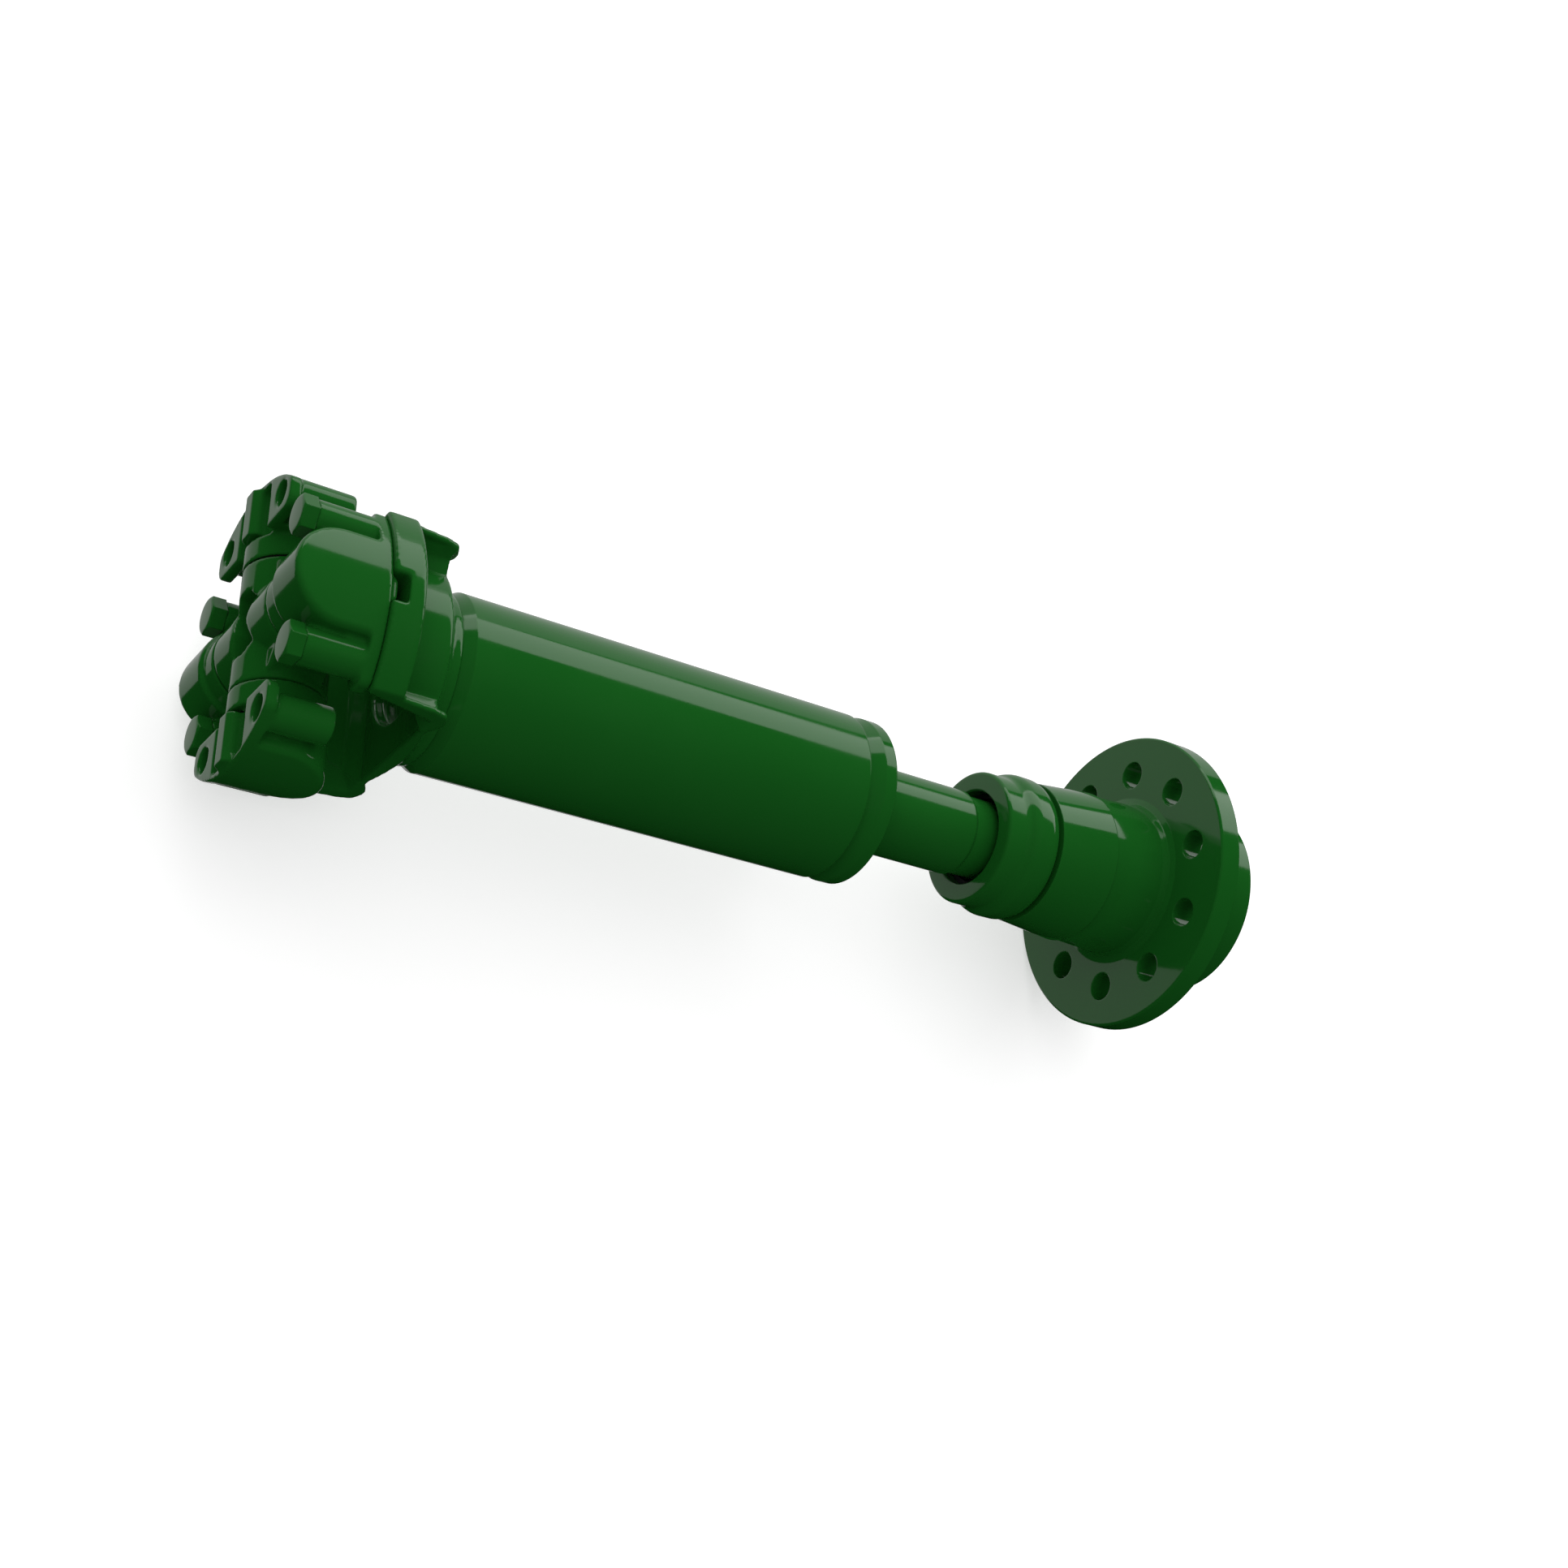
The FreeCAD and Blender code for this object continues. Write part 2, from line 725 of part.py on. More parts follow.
    # the ears' inner walls open out towards the two flat sides
    front_height = EAR_SLOT + cell("relief_front_rise")
    back_height = EAR_SLOT + cell("relief_back_rise")
    fall = (front_height - back_height) / (bottom - front)
    ahead = cell("base_offset")
    for side, name in ((1, "near"), (-1, "far")):
        relief = new_sketch(
            body, "relief_%s_outline" % name, "side", cell("yoke_half_width") * side
        )
        wide_front = front_height + fall * ahead
        draw_outline(relief, [
            (front - ahead, -wide_front),
            (bottom, -back_height),
            (bottom, back_height),
            (front - ahead, wide_front),
        ])
        depth = cell("yoke_half_width") - cell("relief_start_width")
        cut = pocket(body, "relief_" + name, relief, depth, side < 0)
        bind(cut, "TaperAngle", -cell("relief_angle"))
        doc.recompute()
    notch = new_sketch(body, "key_notch_outline", "across", front - OVERRUN)
    half = cell("notch_width") / 2
    inner = EAR_SLOT - OVERRUN
    draw_box(notch, -half, half, inner, reach)
    draw_box(notch, -half, half, -reach, -inner)
    pocket(body, "key_notches", notch, cell("notch_depth") + OVERRUN)
    holes = new_sketch(body, "cap_bolt_hole_places", "across", front - OVERRUN)
    for side in (-1, 1):
        for up in (-1, 1):
            draw_circle(
                holes, cell("bolt_spread") * side / 2, BOLT_HEIGHT * up,
                cell("bolt_radius") + cell("thread_gap"),
            )
    pocket(body, "cap_bolt_holes", holes, cell("ear_thick") + OVERRUN * 2)
    return body


def bearing_cap(label, turn):
    """Wing bearing cap: barrel along Z, mounting pad with a key towards X."""
    body = new_body(label)
    tip = cell("swing_radius") + OVERRUN
    base = cell("base_offset")
    skirt = new_sketch(body, label + "_skirt_circle", "along", SKIRT_START)
    draw_circle(skirt, 0, 0, cell("skirt_radius"))
    pad(body, label + "_skirt", skirt, PAD_INNER - SKIRT_START)
    barrel = new_sketch(body, label + "_barrel_circle", "along", PAD_INNER)
    draw_circle(barrel, 0, 0, cell("barrel_radius"))
    pad(body, label + "_barrel", barrel, tip - PAD_INNER)
    block = new_sketch(body, label + "_block_outline", "along", PAD_INNER)
    draw_box(block, 0, base, -cell("barrel_radius"), cell("barrel_radius"))
    pad(body, label + "_block", block, tip - PAD_INNER)
    plate = new_sketch(body, label + "_pad_outline", "across", base - cell("pad_thick"))
    draw_box(
        plate, -cell("pad_half_width"), cell("pad_half_width"), PAD_INNER, tip
    )
    pad(body, label + "_pad", plate, cell("pad_thick"))
    # the barrel's far side is cut level with the pad
    spare = new_sketch(body, label + "_base_cut_outline", "across", base)
    wide = cell("barrel_radius") + OVERRUN
    draw_box(spare, -wide, wide, PAD_INNER, tip + OVERRUN)
    pocket(body, label + "_base_cut", spare, wide - base)
    dress(
        body, label + "_pad_corners", "Fillet",
        lambda edge: near(edge.Length, cell("pad_thick"))
        and near(abs(edge.BoundBox.Center.y), cell("pad_half_width"))
        and near(edge.BoundBox.Center.z, PAD_INNER),
        cell("pad_round"),
    )
    web = new_sketch(
        body, label + "_web_outline", "across",
        base - cell("pad_thick") - cell("web_depth"),
    )
    spread = cell("bolt_spread") / 2
    draw_box(
        web, -spread, spread, BOLT_HEIGHT - cell("web_half_width"),
        BOLT_HEIGHT + cell("web_half_width"),
    )
    pad(body, label + "_web", web, cell("web_depth"))
    boss = new_sketch(body, label + "_boss_circles", "across", -cell("seat_offset"))
    for side in (-1, 1):
        draw_circle(boss, spread * side, BOLT_HEIGHT, cell("boss_radius"))
    boss_length = cell("seat_offset") + base - cell("pad_thick")
    pad(body, label + "_bosses", boss, boss_length)
    # the outer corners are turned to the joint's swing
    outside = cell("swing_radius") + cell("swing_trim")
    turned_cut(body, label + "_swing", [
        (-wide, cell("swing_radius")),
        (base + OVERRUN, cell("swing_radius")),
        (base + OVERRUN, outside),
        (-wide, outside),
    ])
    dress(
        body, label + "_pad_tips", "Fillet",
        lambda edge: near(edge.Length, cell("pad_thick"))
        and near(abs(edge.BoundBox.Center.y), cell("pad_half_width"))
        and edge.BoundBox.Center.z > BOLT_HEIGHT.number,
        cell("pad_tip_round"),
    )
    dress(
        body, label + "_barrel_rim", "Chamfer",
        lambda edge: on_swing(edge)
        and abs(middle(edge).y) <= wide.number
        and middle(edge).x < (base - cell("pad_thick")).number,
        cell("barrel_round"),
    )
    # shallow relief each side of the key, then the key itself
    relief = new_sketch(
        body, label + "_relief_outline", "across", base - cell("relief_depth")
    )
    half_key = cell("key_width") / 2
    half = cell("relief_half_width")
    relief_end = cell("swing_radius") - cell("relief_inset")
    draw_box(relief, -half, half, PAD_INNER, relief_end)
    pocket(body, label + "_relief", relief, cell("relief_depth") + OVERRUN)
    start = PAD_INNER + cell("key_inset")
    floor = base - cell("relief_depth")
    top = base + cell("key_height")
    edge = cell("key_edge")
    key = new_sketch(body, label + "_key_outline", "along", start)
    draw_outline(key, [
        (floor, -half_key),
        (top - edge, -half_key),
        (top, edge - half_key),
        (top, half_key - edge),
        (top - edge, half_key),
        (floor, half_key),
    ])
    pad(body, label + "_key", key, cell("swing_radius") - cell("key_inset") - start)
    bolts = new_sketch(
        body, label + "_bolt_circles", "across", -cell("seat_offset") - OVERRUN
    )
    for side in (-1, 1):
        draw_circle(bolts, spread * side, BOLT_HEIGHT, cell("cap_bolt_hole"))
    pocket(
        body, label + "_bolt_holes", bolts, cell("seat_offset") + base + OVERRUN * 2
    )
    seat = new_sketch(body, label + "_seal_seat", "along", SKIRT_START - OVERRUN)
    draw_circle(seat, 0, 0, cell("seal_radius") + cell("seat_gap"))
    pocket(body, label + "_seal_bore", seat, cell("seal_depth") + OVERRUN)
    cup = new_sketch(body, label + "_cup_circle", "along", SKIRT_START - OVERRUN)
    draw_circle(cup, 0, 0, cup_radius())
    pocket(body, label + "_cup", cup, cup_floor() - SKIRT_START + OVERRUN)
    place(body, turn)
    return body


def cup_radius():
    """Radius of a cap's bore, round its needles."""
    return (
        cell("trunnion_radius") + cell("needle_radius") * 2 + cell("running_gap") * 2
    )


def cup_floor():
    """Depth of a cap's bore from the joint's centre."""
    return TRUNNION_TIP + cell("washer_thick") + cell("running_gap") * 4


def place(thing, turn):
    """Puts a piece of the joint at the joint's centre, turned to its trunnion."""
    thing.Placement = Placement(Vector(0, 0, 0), turn)
    bind(thing, "Placement.Base.x", JOINT)


def needle_set(label, turn):
    """The loose needles of one cap, side by side round the trunnion."""
    start = SKIRT_START + cell("seal_depth") + cell("needle_end_gap")
    stop = TRUNNION_TIP - cell("needle_end_gap")
    pitch = cell("trunnion_radius") + cell("running_gap") + cell("needle_radius")
    count = int(cell("needle_count").number)
    needles = []
    for index in range(count):
        needle = doc.addObject("Part::Prism", "%s_%02d" % (label, index + 1))
        bind(needle, "Polygon", cell("needle_sides"))
        bind(needle, "Circumradius", cell("needle_radius"))
        bind(needle, "Height", stop - start)
        angle = 2 * math.pi * index / count
        bind(needle, "Placement.Base.x", pitch * math.cos(angle))
        bind(needle, "Placement.Base.y", pitch * math.sin(angle))
        bind(needle, "Placement.Base.z", start)
        needles.append(needle)
    group = doc.addObject("Part::Compound", label)
    group.Label = label
    group.Links = needles
    place(group, turn)
    return group


def thrust_washer(label, turn):
    """Nylon disc between a trunnion's tip and the floor of its cap."""
    disc = doc.addObject("Part::Prism", label)
    disc.Label = label
    bind(disc, "Polygon", cell("washer_sides"))
    bind(disc, "Circumradius", cup_radius() - cell("running_gap"))
    bind(disc, "Height", cell("washer_thick"))
    shift_out(disc, turn, TRUNNION_TIP + cell("running_gap") * 2)
    return disc


def shift_out(thing, turn, distance):
    """Places a turned piece some way out along its trunnion."""
    thing.Placement = Placement(Vector(0, 0, 0), turn)
    outward = turn.multVec(Vector(0, 0, 1))
    bind(thing, "Placement.Base.x", JOINT)
    bind(thing, "Placement.Base.y", distance * round(outward.y))
    bind(thing, "Placement.Base.z", distance * round(outward.z))


def trunnion_seal(label, turn):
    """Rubber seal ring in the mouth of a cap, its lip on the cross."""
    outer = doc.addObject("Part::Prism", label + "_outside")
    bind(outer, "Polygon", cell("seal_sides"))
    bind(outer, "Circumradius", cell("seal_radius"))
    height = SKIRT_START - BOSS_FACE + cell("seal_depth")
    height = height - cell("seal_gap") - cell("seal_lip")
    bind(outer, "Height", height)
    hole = doc.addObject("Part::Prism", label + "_inside")
    bind(hole, "Polygon", cell("seal_sides"))
    bind(hole, "Circumradius", cell("trunnion_radius") + cell("seal_gap"))
    bind(hole, "Height", height + OVERRUN * 2)
    bind(hole, "Placement.Base.z", -OVERRUN)
    ring = doc.addObject("Part::Cut", label)
    ring.Label = label
    ring.Base = outer
    ring.Tool = hole
    shift_out(ring, turn, BOSS_FACE + cell("seal_lip"))
    return ring


def draw_hourglass(sketch):
    """The waisted outline of the cross's central recess."""
    long = cell("cross_recess_long")
    wide = cell("cross_recess_wide")
    waist = cell("cross_recess_waist")
    bulge = long - wide / 2
    draw_outline(sketch, [
        (long, wide / 2),
        (bulge, wide),
        (0, waist),
        (-bulge, wide),
        (-long, wide / 2),
        (-long, -wide / 2),
        (-bulge, -wide),
        (0, -waist),
        (bulge, -wide),
        (long, -wide / 2),
    ])


def cross():
    """Forged cross: four bosses and trunnions round a recessed centre."""
    body = new_body("cross")
    web = cell("cross_web")
    face = BOSS_FACE - cell("cross_web_inset")
    waist = face * cell("cross_waist")
    centre = new_sketch(body, "cross_web_outline", "across", -web)
    draw_outline(centre, [
        (face, waist),
        (waist, face),
        (-waist, face),
        (-face, waist),
        (-face, -waist),
        (-waist, -face),
        (waist, -face),
        (face, -waist),
    ])
    pad(body, "cross_centre", centre, web * 2)
    for name, plane in (("upright", "along"), ("level", "side")):
        boss = new_sketch(body, name + "_boss_circle", plane, -BOSS_FACE)
        draw_circle(boss, 0, 0, cell("cross_boss_radius"))
        pad(body, name + "_bosses", boss, BOSS_FACE * 2)
    depth = cell("cross_recess_depth") + OVERRUN
    for name, height in (
        ("near_recess", -cell("cross_boss_radius") - OVERRUN),
        ("far_recess", cell("cross_boss_radius") + OVERRUN - depth),
    ):
        recess = new_sketch(body, name + "_outline", "across", height)
        draw_hourglass(recess)
        pocket(body, name, recess, depth)
    for name, plane in (("upright", "along"), ("level", "side")):
        pin = new_sketch(body, name + "_trunnion_circle", plane, -TRUNNION_TIP)
        draw_circle(pin, 0, 0, cell("trunnion_radius"))
        length = TRUNNION_TIP - BOSS_FACE + OVERRUN
        pad(body, name + "_trunnion_low", pin, length)
        pin = new_sketch(
            body, name + "_trunnion_circle_high", plane, BOSS_FACE - OVERRUN
        )
        draw_circle(pin, 0, 0, cell("trunnion_radius"))
        pad(body, name + "_trunnion_high", pin, length)
    place(body, Rotation())
    return body


def cap_bolts():
    """Four hexagon bolts that hold the two fixed caps on the yoke's ears."""
    bolts = []
    spread = cell("bolt_spread") / 2
    lie = Rotation(Vector(0, 1, 0), 90)
    seat = JOINT - cell("seat_offset")
    for up, end in ((1, "top"), (-1, "bottom")):
        for side, name in ((1, "left"), (-1, "right")):
            stem = "bolt_%s_%s" % (end, name)
            shank = doc.addObject("Part::Cylinder", stem + "_shank")
            bind(shank, "Radius", cell("bolt_radius"))
            bind(shank, "Height", cell("bolt_grip"))
            head = doc.addObject("Part::Prism", stem + "_head")
            head.Polygon = 6
            bind(head, "Circumradius", cell("head_flats") / math.sqrt(3))
            bind(head, "Height", cell("head_height"))
            head.Placement = Placement(Vector(0, 0, 0), Rotation(Vector(0, 0, 1), 30))
            bind(head, "Placement.Base.z", -cell("head_height"))
            bolt = doc.addObject("Part::Fuse", stem)
            bolt.Base = shank
            bolt.Tool = head
            bolt.Placement = Placement(Vector(0, 0, 0), lie)
            bind(bolt, "Placement.Base.x", seat)
            bind(bolt, "Placement.Base.y", spread * side)
            bind(bolt, "Placement.Base.z", BOLT_HEIGHT * up)
            bolts.append(bolt)
    group = doc.addObject("Part::Compound", "cap_bolts")
    group.Label = "cap_bolts"
    group.Links = bolts
    return group


# Each trunnion's name and how its pieces are turned from the upright one. The
# fixed caps' pads face the yoke, the free caps' pads face away from it.
UP = Rotation()
DOWN = Rotation(Vector(1, 0, 0), 180)
FLIP = Rotation(Vector(0, 0, 1), 180)
LEFT = Rotation(Vector(1, 0, 0), -90).multiply(FLIP)
RIGHT = Rotation(Vector(1, 0, 0), 90).multiply(FLIP)
TRUNNIONS = {"top": UP, "bottom": DOWN, "left": LEFT, "right": RIGHT}

PARTS = [
    slip_hub(),
    dust_cap(),
    wiper_seal(),
    end_plug(),
    stub_shaft(),
    main_tube(),
    tube_yoke(),
    cross(),
    cap_bolts(),
]
for name, turn in TRUNNIONS.items():
    kind = "fixed" if name in ("top", "bottom") else "free"
    PARTS.append(bearing_cap("%s_cap_%s" % (kind, name), turn))
    PARTS.append(needle_set("needles_" + name, turn))
    PARTS.append(thrust_washer("thrust_washer_" + name, turn))
    PARTS.append(trunnion_seal("seal_" + name, turn))

doc.recompute()
for item in doc.Objects:
    expect(
        "Invalid" not in item.State and "Error" not in item.State,
        "%s did not build" % item.Label,
    )
os.makedirs("parts", exist_ok=True)
for piece in PARTS:
    expect(not piece.Shape.isNull() and piece.Shape.isValid(), piece.Label + " is bad")
    expect(re.fullmatch(r"[a-z_]{3,60}", piece.Label), piece.Label + " is no file name")
for piece in PARTS:
    piece.Shape.exportStep("parts/%s.step" % piece.Label)
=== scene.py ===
"""Dress and light a painted drive shaft with a universal joint and a slip hub."""

import json
import logging
import math
from dataclasses import dataclass, field
from enum import Enum
from typing import Iterable, Optional, Union

import bmesh
import bpy
from mathutils import Matrix, Vector
from mathutils.bvhtree import BVHTree

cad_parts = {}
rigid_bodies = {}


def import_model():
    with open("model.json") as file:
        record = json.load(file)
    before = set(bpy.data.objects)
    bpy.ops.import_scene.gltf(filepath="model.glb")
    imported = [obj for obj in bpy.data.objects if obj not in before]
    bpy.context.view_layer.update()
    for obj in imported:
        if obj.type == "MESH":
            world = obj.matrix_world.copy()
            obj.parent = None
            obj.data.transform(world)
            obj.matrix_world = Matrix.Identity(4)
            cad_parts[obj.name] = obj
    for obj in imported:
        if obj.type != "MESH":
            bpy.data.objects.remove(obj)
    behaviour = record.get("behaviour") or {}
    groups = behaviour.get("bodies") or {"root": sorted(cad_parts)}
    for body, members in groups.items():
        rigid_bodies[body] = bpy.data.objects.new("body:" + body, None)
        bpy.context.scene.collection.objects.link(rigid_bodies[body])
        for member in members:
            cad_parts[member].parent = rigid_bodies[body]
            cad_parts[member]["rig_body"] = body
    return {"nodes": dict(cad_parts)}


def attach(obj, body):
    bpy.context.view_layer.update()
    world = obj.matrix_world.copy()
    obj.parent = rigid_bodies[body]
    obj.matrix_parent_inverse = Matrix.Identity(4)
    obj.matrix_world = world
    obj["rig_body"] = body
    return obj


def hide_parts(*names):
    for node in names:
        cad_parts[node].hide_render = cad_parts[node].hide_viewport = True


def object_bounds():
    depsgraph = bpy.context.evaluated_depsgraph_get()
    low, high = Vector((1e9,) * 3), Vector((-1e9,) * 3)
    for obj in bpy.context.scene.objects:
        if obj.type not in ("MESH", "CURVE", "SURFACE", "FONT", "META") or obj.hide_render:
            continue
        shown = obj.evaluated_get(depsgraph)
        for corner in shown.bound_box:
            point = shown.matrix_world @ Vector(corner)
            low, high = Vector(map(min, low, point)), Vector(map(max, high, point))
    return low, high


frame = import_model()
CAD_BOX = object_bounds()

logging.basicConfig(level=logging.INFO, format="%(name)s: %(message)s")
LOG = logging.getLogger("drive_shaft")

WHITE = (1.0, 1.0, 1.0, 1.0)
SOLID_MERGE = 1e-6
TURNED_MERGE = 1e-7


class Texture(Enum):
    """How the steel under the paint was made."""

    FORGED = "forged"
    TURNED = "turned"
    DRAWN = "drawn"


class CapKind(Enum):
    """Whether a bearing cap is bolted to the yoke or left for its companion."""

    FIXED = "fixed_cap_"
    FREE = "free_cap_"


def add_node(
    tree: bpy.types.NodeTree, kind: str, settings: Optional[dict] = None, **values: object
) -> bpy.types.Node:
    """Add a node and set its properties and inputs.

    Args:
        tree: The node tree that takes the node.
        kind: The node's type, as Blender names it.
        settings: Properties of the node, such as its operation.
        **values: Input values or sockets to link, keyed by the input's name
            with spaces written as underscores.

    Returns:
        The new node.
    """
    node = tree.nodes.new(kind)
    for key, value in (settings or {}).items():
        setattr(node, key, value)
    for key, value in values.items():
        feed(tree, node, key.replace("_", " "), value)
    return node


def feed(
    tree: bpy.types.NodeTree, node: bpy.types.Node, name: Union[str, int], value: object
) -> None:
    """Link a socket to a node's input, or write a plain value there.

    Args:
        tree: The node tree that holds the node.
        node: The node that takes the value.
        name: The input's name or number.
        value: An output socket, or a number, colour or vector.
    """
    if isinstance(value, bpy.types.NodeSocket):
        tree.links.new(value, node.inputs[name])
    else:
        node.inputs[name].default_value = value


def math_node(
    tree: bpy.types.NodeTree, operation: str, first: object, second: object = 0.0
) -> bpy.types.NodeSocket:
    """Work out one sum in a node tree.

    Args:
        tree: The node tree that does the sum.
        operation: The Math node's operation.
        first: The first value or socket.
        second: The second value or socket.

    Returns:
        The socket with the result.
    """
    node = add_node(tree, "ShaderNodeMath", {"operation": operation})
    feed(tree, node, 0, first)
    feed(tree, node, 1, second)
    return node.outputs[0]


@dataclass
class NodeGroups:
    """The shader effects that several finishes share, built once."""

    dent_scale: float = 0.09
    grit_share: float = 0.35
    ring_scale: float = 0.6
    edge_open: float = 0.985
    edge_full: float = 0.80
    drift_low: float = 0.35
    drift_high: float = 0.65
    built: dict = field(default_factory=dict)

    def get(self, name: str) -> bpy.types.NodeTree:
        """Return a group by name, building it on first use.

        Args:
            name: The group's name.

        Returns:
            The group's tree.
        """
        if name not in self.built:
            self.built[name] = getattr(self, "build_" + name)()
        return self.built[name]

    def start(
        self, name: str, inputs: dict, outputs: dict
    ) -> tuple[bpy.types.NodeTree, bpy.types.Node, bpy.types.Node]:
        """Make an empty group with its sockets.

        Args:
            name: The group's name.
            inputs: Socket types and defaults by name.
            outputs: Socket types by name.

        Returns:
            The group's tree, its input node and its output node.
        """
        tree = bpy.data.node_groups.new(name, "ShaderNodeTree")
        for label, (kind, default) in inputs.items():
            socket = tree.interface.new_socket(label, in_out="INPUT", socket_type=kind)
            socket.default_value = default
        for label, kind in outputs.items():
            tree.interface.new_socket(label, in_out="OUTPUT", socket_type=kind)
        into = tree.nodes.new("NodeGroupInput")
        return tree, into, tree.nodes.new("NodeGroupOutput")

    def build_orange_peel(self) -> bpy.types.NodeTree:
        """Build the soft waves of sprayed enamel as a height.

        Returns:
            The group's tree.
        """
        tree, into, out = self.start(
            "orange_peel",
            {"Scale": ("NodeSocketFloat", 300.0), "Strength": ("NodeSocketFloat", 0.1)},
            {"Height": "NodeSocketFloat"},
        )
        place = add_node(tree, "ShaderNodeTexCoord").outputs["Object"]
        noise = add_node(
            tree, "ShaderNodeTexNoise", Vector=place, Scale=into.outputs["Scale"],
            Detail=1.5, Roughness=0.4,
        )
        feed(tree, out, "Height", math_node(
            tree, "MULTIPLY", noise.outputs[0], into.outputs["Strength"]
        ))
        return tree

    def build_forged_skin(self) -> bpy.types.NodeTree:
        """Build the fine grit and shallow dents of a forging as a height.

        Returns:
            The group's tree.
        """
        tree, into, out = self.start(
            "forged_skin",
            {"Scale": ("NodeSocketFloat", 900.0), "Strength": ("NodeSocketFloat", 0.2)},
            {"Height": "NodeSocketFloat"},
        )
        place = add_node(tree, "ShaderNodeTexCoord").outputs["Object"]
        grit = add_node(
            tree, "ShaderNodeTexNoise", Vector=place, Scale=into.outputs["Scale"],
            Detail=3.0, Roughness=0.6,
        )
        dents = add_node(
            tree, "ShaderNodeTexNoise", Vector=place,
            Scale=math_node(tree, "MULTIPLY", into.outputs["Scale"], self.dent_scale),
            Detail=2.0, Roughness=0.5,
        )
        both = math_node(
            tree, "ADD", math_node(tree, "MULTIPLY", grit.outputs[0], self.grit_share),
            dents.outputs[0],
        )
        feed(tree, out, "Height", math_node(
            tree, "MULTIPLY", both, into.outputs["Strength"]
        ))
        return tree

    def build_turning_marks(self) -> bpy.types.NodeTree:
        """Build the fine rings that a lathe leaves round X, as a height.

        Returns:
            The group's tree.
        """
        tree, into, out = self.start(
            "turning_marks",
            {"Pitch": ("NodeSocketFloat", 0.0006), "Strength": ("NodeSocketFloat", 0.1)},
            {"Height": "NodeSocketFloat"},
        )
        place = add_node(tree, "ShaderNodeTexCoord").outputs["Object"]
        parts = add_node(tree, "ShaderNodeSeparateXYZ", Vector=place)
        radius = math_node(tree, "SQRT", math_node(
            tree, "ADD",
            math_node(tree, "MULTIPLY", parts.outputs[1], parts.outputs[1]),
            math_node(tree, "MULTIPLY", parts.outputs[2], parts.outputs[2]),
        ))
        along = math_node(tree, "ADD", parts.outputs[0], radius)
        rings = math_node(tree, "DIVIDE", along, into.outputs["Pitch"])
        noise = add_node(
            tree, "ShaderNodeTexNoise", {"noise_dimensions": "1D"}, W=rings,
            Scale=self.ring_scale, Detail=2.0, Roughness=0.7,
        )
        feed(tree, out, "Height", math_node(
            tree, "MULTIPLY", noise.outputs[0], into.outputs["Strength"]
        ))
        return tree

    def build_edge_mask(self) -> bpy.types.NodeTree:
        """Build the round-edge normal and a mask of the sharp edges.

        Returns:
            The group's tree.
        """
        tree, into, out = self.start(
            "edge_mask",
            {"Radius": ("NodeSocketFloat", 0.0006)},
            {"Normal": "NodeSocketVector", "Edge": "NodeSocketFloat"},
        )
        bevel = add_node(
            tree, "ShaderNodeBevel", {"samples": 6}, Radius=into.outputs["Radius"]
        )
        plain = add_node(tree, "ShaderNodeNewGeometry").outputs["Normal"]
        dot = add_node(tree, "ShaderNodeVectorMath", {"operation": "DOT_PRODUCT"})
        feed(tree, dot, 0, bevel.outputs[0])
        feed(tree, dot, 1, plain)
        edge = add_node(
            tree, "ShaderNodeMapRange", {"clamp": True}, Value=dot.outputs["Value"],
            From_Min=self.edge_open, From_Max=self.edge_full,
        )
        feed(tree, out, "Normal", bevel.outputs[0])
        feed(tree, out, "Edge", edge.outputs[0])
        return tree

    def build_drift(self) -> bpy.types.NodeTree:
        """Build slow patches over a surface, as a mask from 0 to 1.

        Returns:
            The group's tree.
        """
        tree, into, out = self.start(
            "drift", {"Scale": ("NodeSocketFloat", 12.0)}, {"Mask": "NodeSocketFloat"}
        )
        place = add_node(tree, "ShaderNodeTexCoord").outputs["Object"]
        noise = add_node(
            tree, "ShaderNodeTexNoise", Vector=place, Scale=into.outputs["Scale"],
            Detail=4.0, Roughness=0.55,
        )
        reach = add_node(
            tree, "ShaderNodeMapRange", {"clamp": True}, Value=noise.outputs[0],
            From_Min=self.drift_low, From_Max=self.drift_high,
        )
        feed(tree, out, "Mask", reach.outputs[0])
        return tree


def use_group(
    tree: bpy.types.NodeTree, groups: NodeGroups, name: str, **values: object
) -> bpy.types.Node:
    """Place a shared group in a material.

    Args:
        tree: The material's node tree.
        groups: The shared groups.
        name: The group's name.
        **values: The group's inputs.

    Returns:
        The group's node.
    """
    return add_node(
        tree, "ShaderNodeGroup", {"node_tree": groups.get(name)}, **values
    )


def new_material(name: str) -> tuple[bpy.types.Material, bpy.types.Node]:
    """Make a material with nodes.

    Args:
        name: The material's name.

    Returns:
        The material and its shader.
    """
    material = bpy.data.materials.new(name)
    material.use_nodes = True
    return material, material.node_tree.nodes["Principled BSDF"]


def dull(
    tree: bpy.types.NodeTree, mask: bpy.types.NodeSocket, roughness: float, share: float
) -> bpy.types.NodeSocket:
    """Add a share of a mask to a roughness.

    Args:
        tree: The material's node tree.
        mask: The mask of the duller patches.
        roughness: The roughness outside them.
        share: What they add to it.

    Returns:
        The socket with the roughness.
    """
    return math_node(tree, "ADD", roughness, math_node(tree, "MULTIPLY", mask, share))


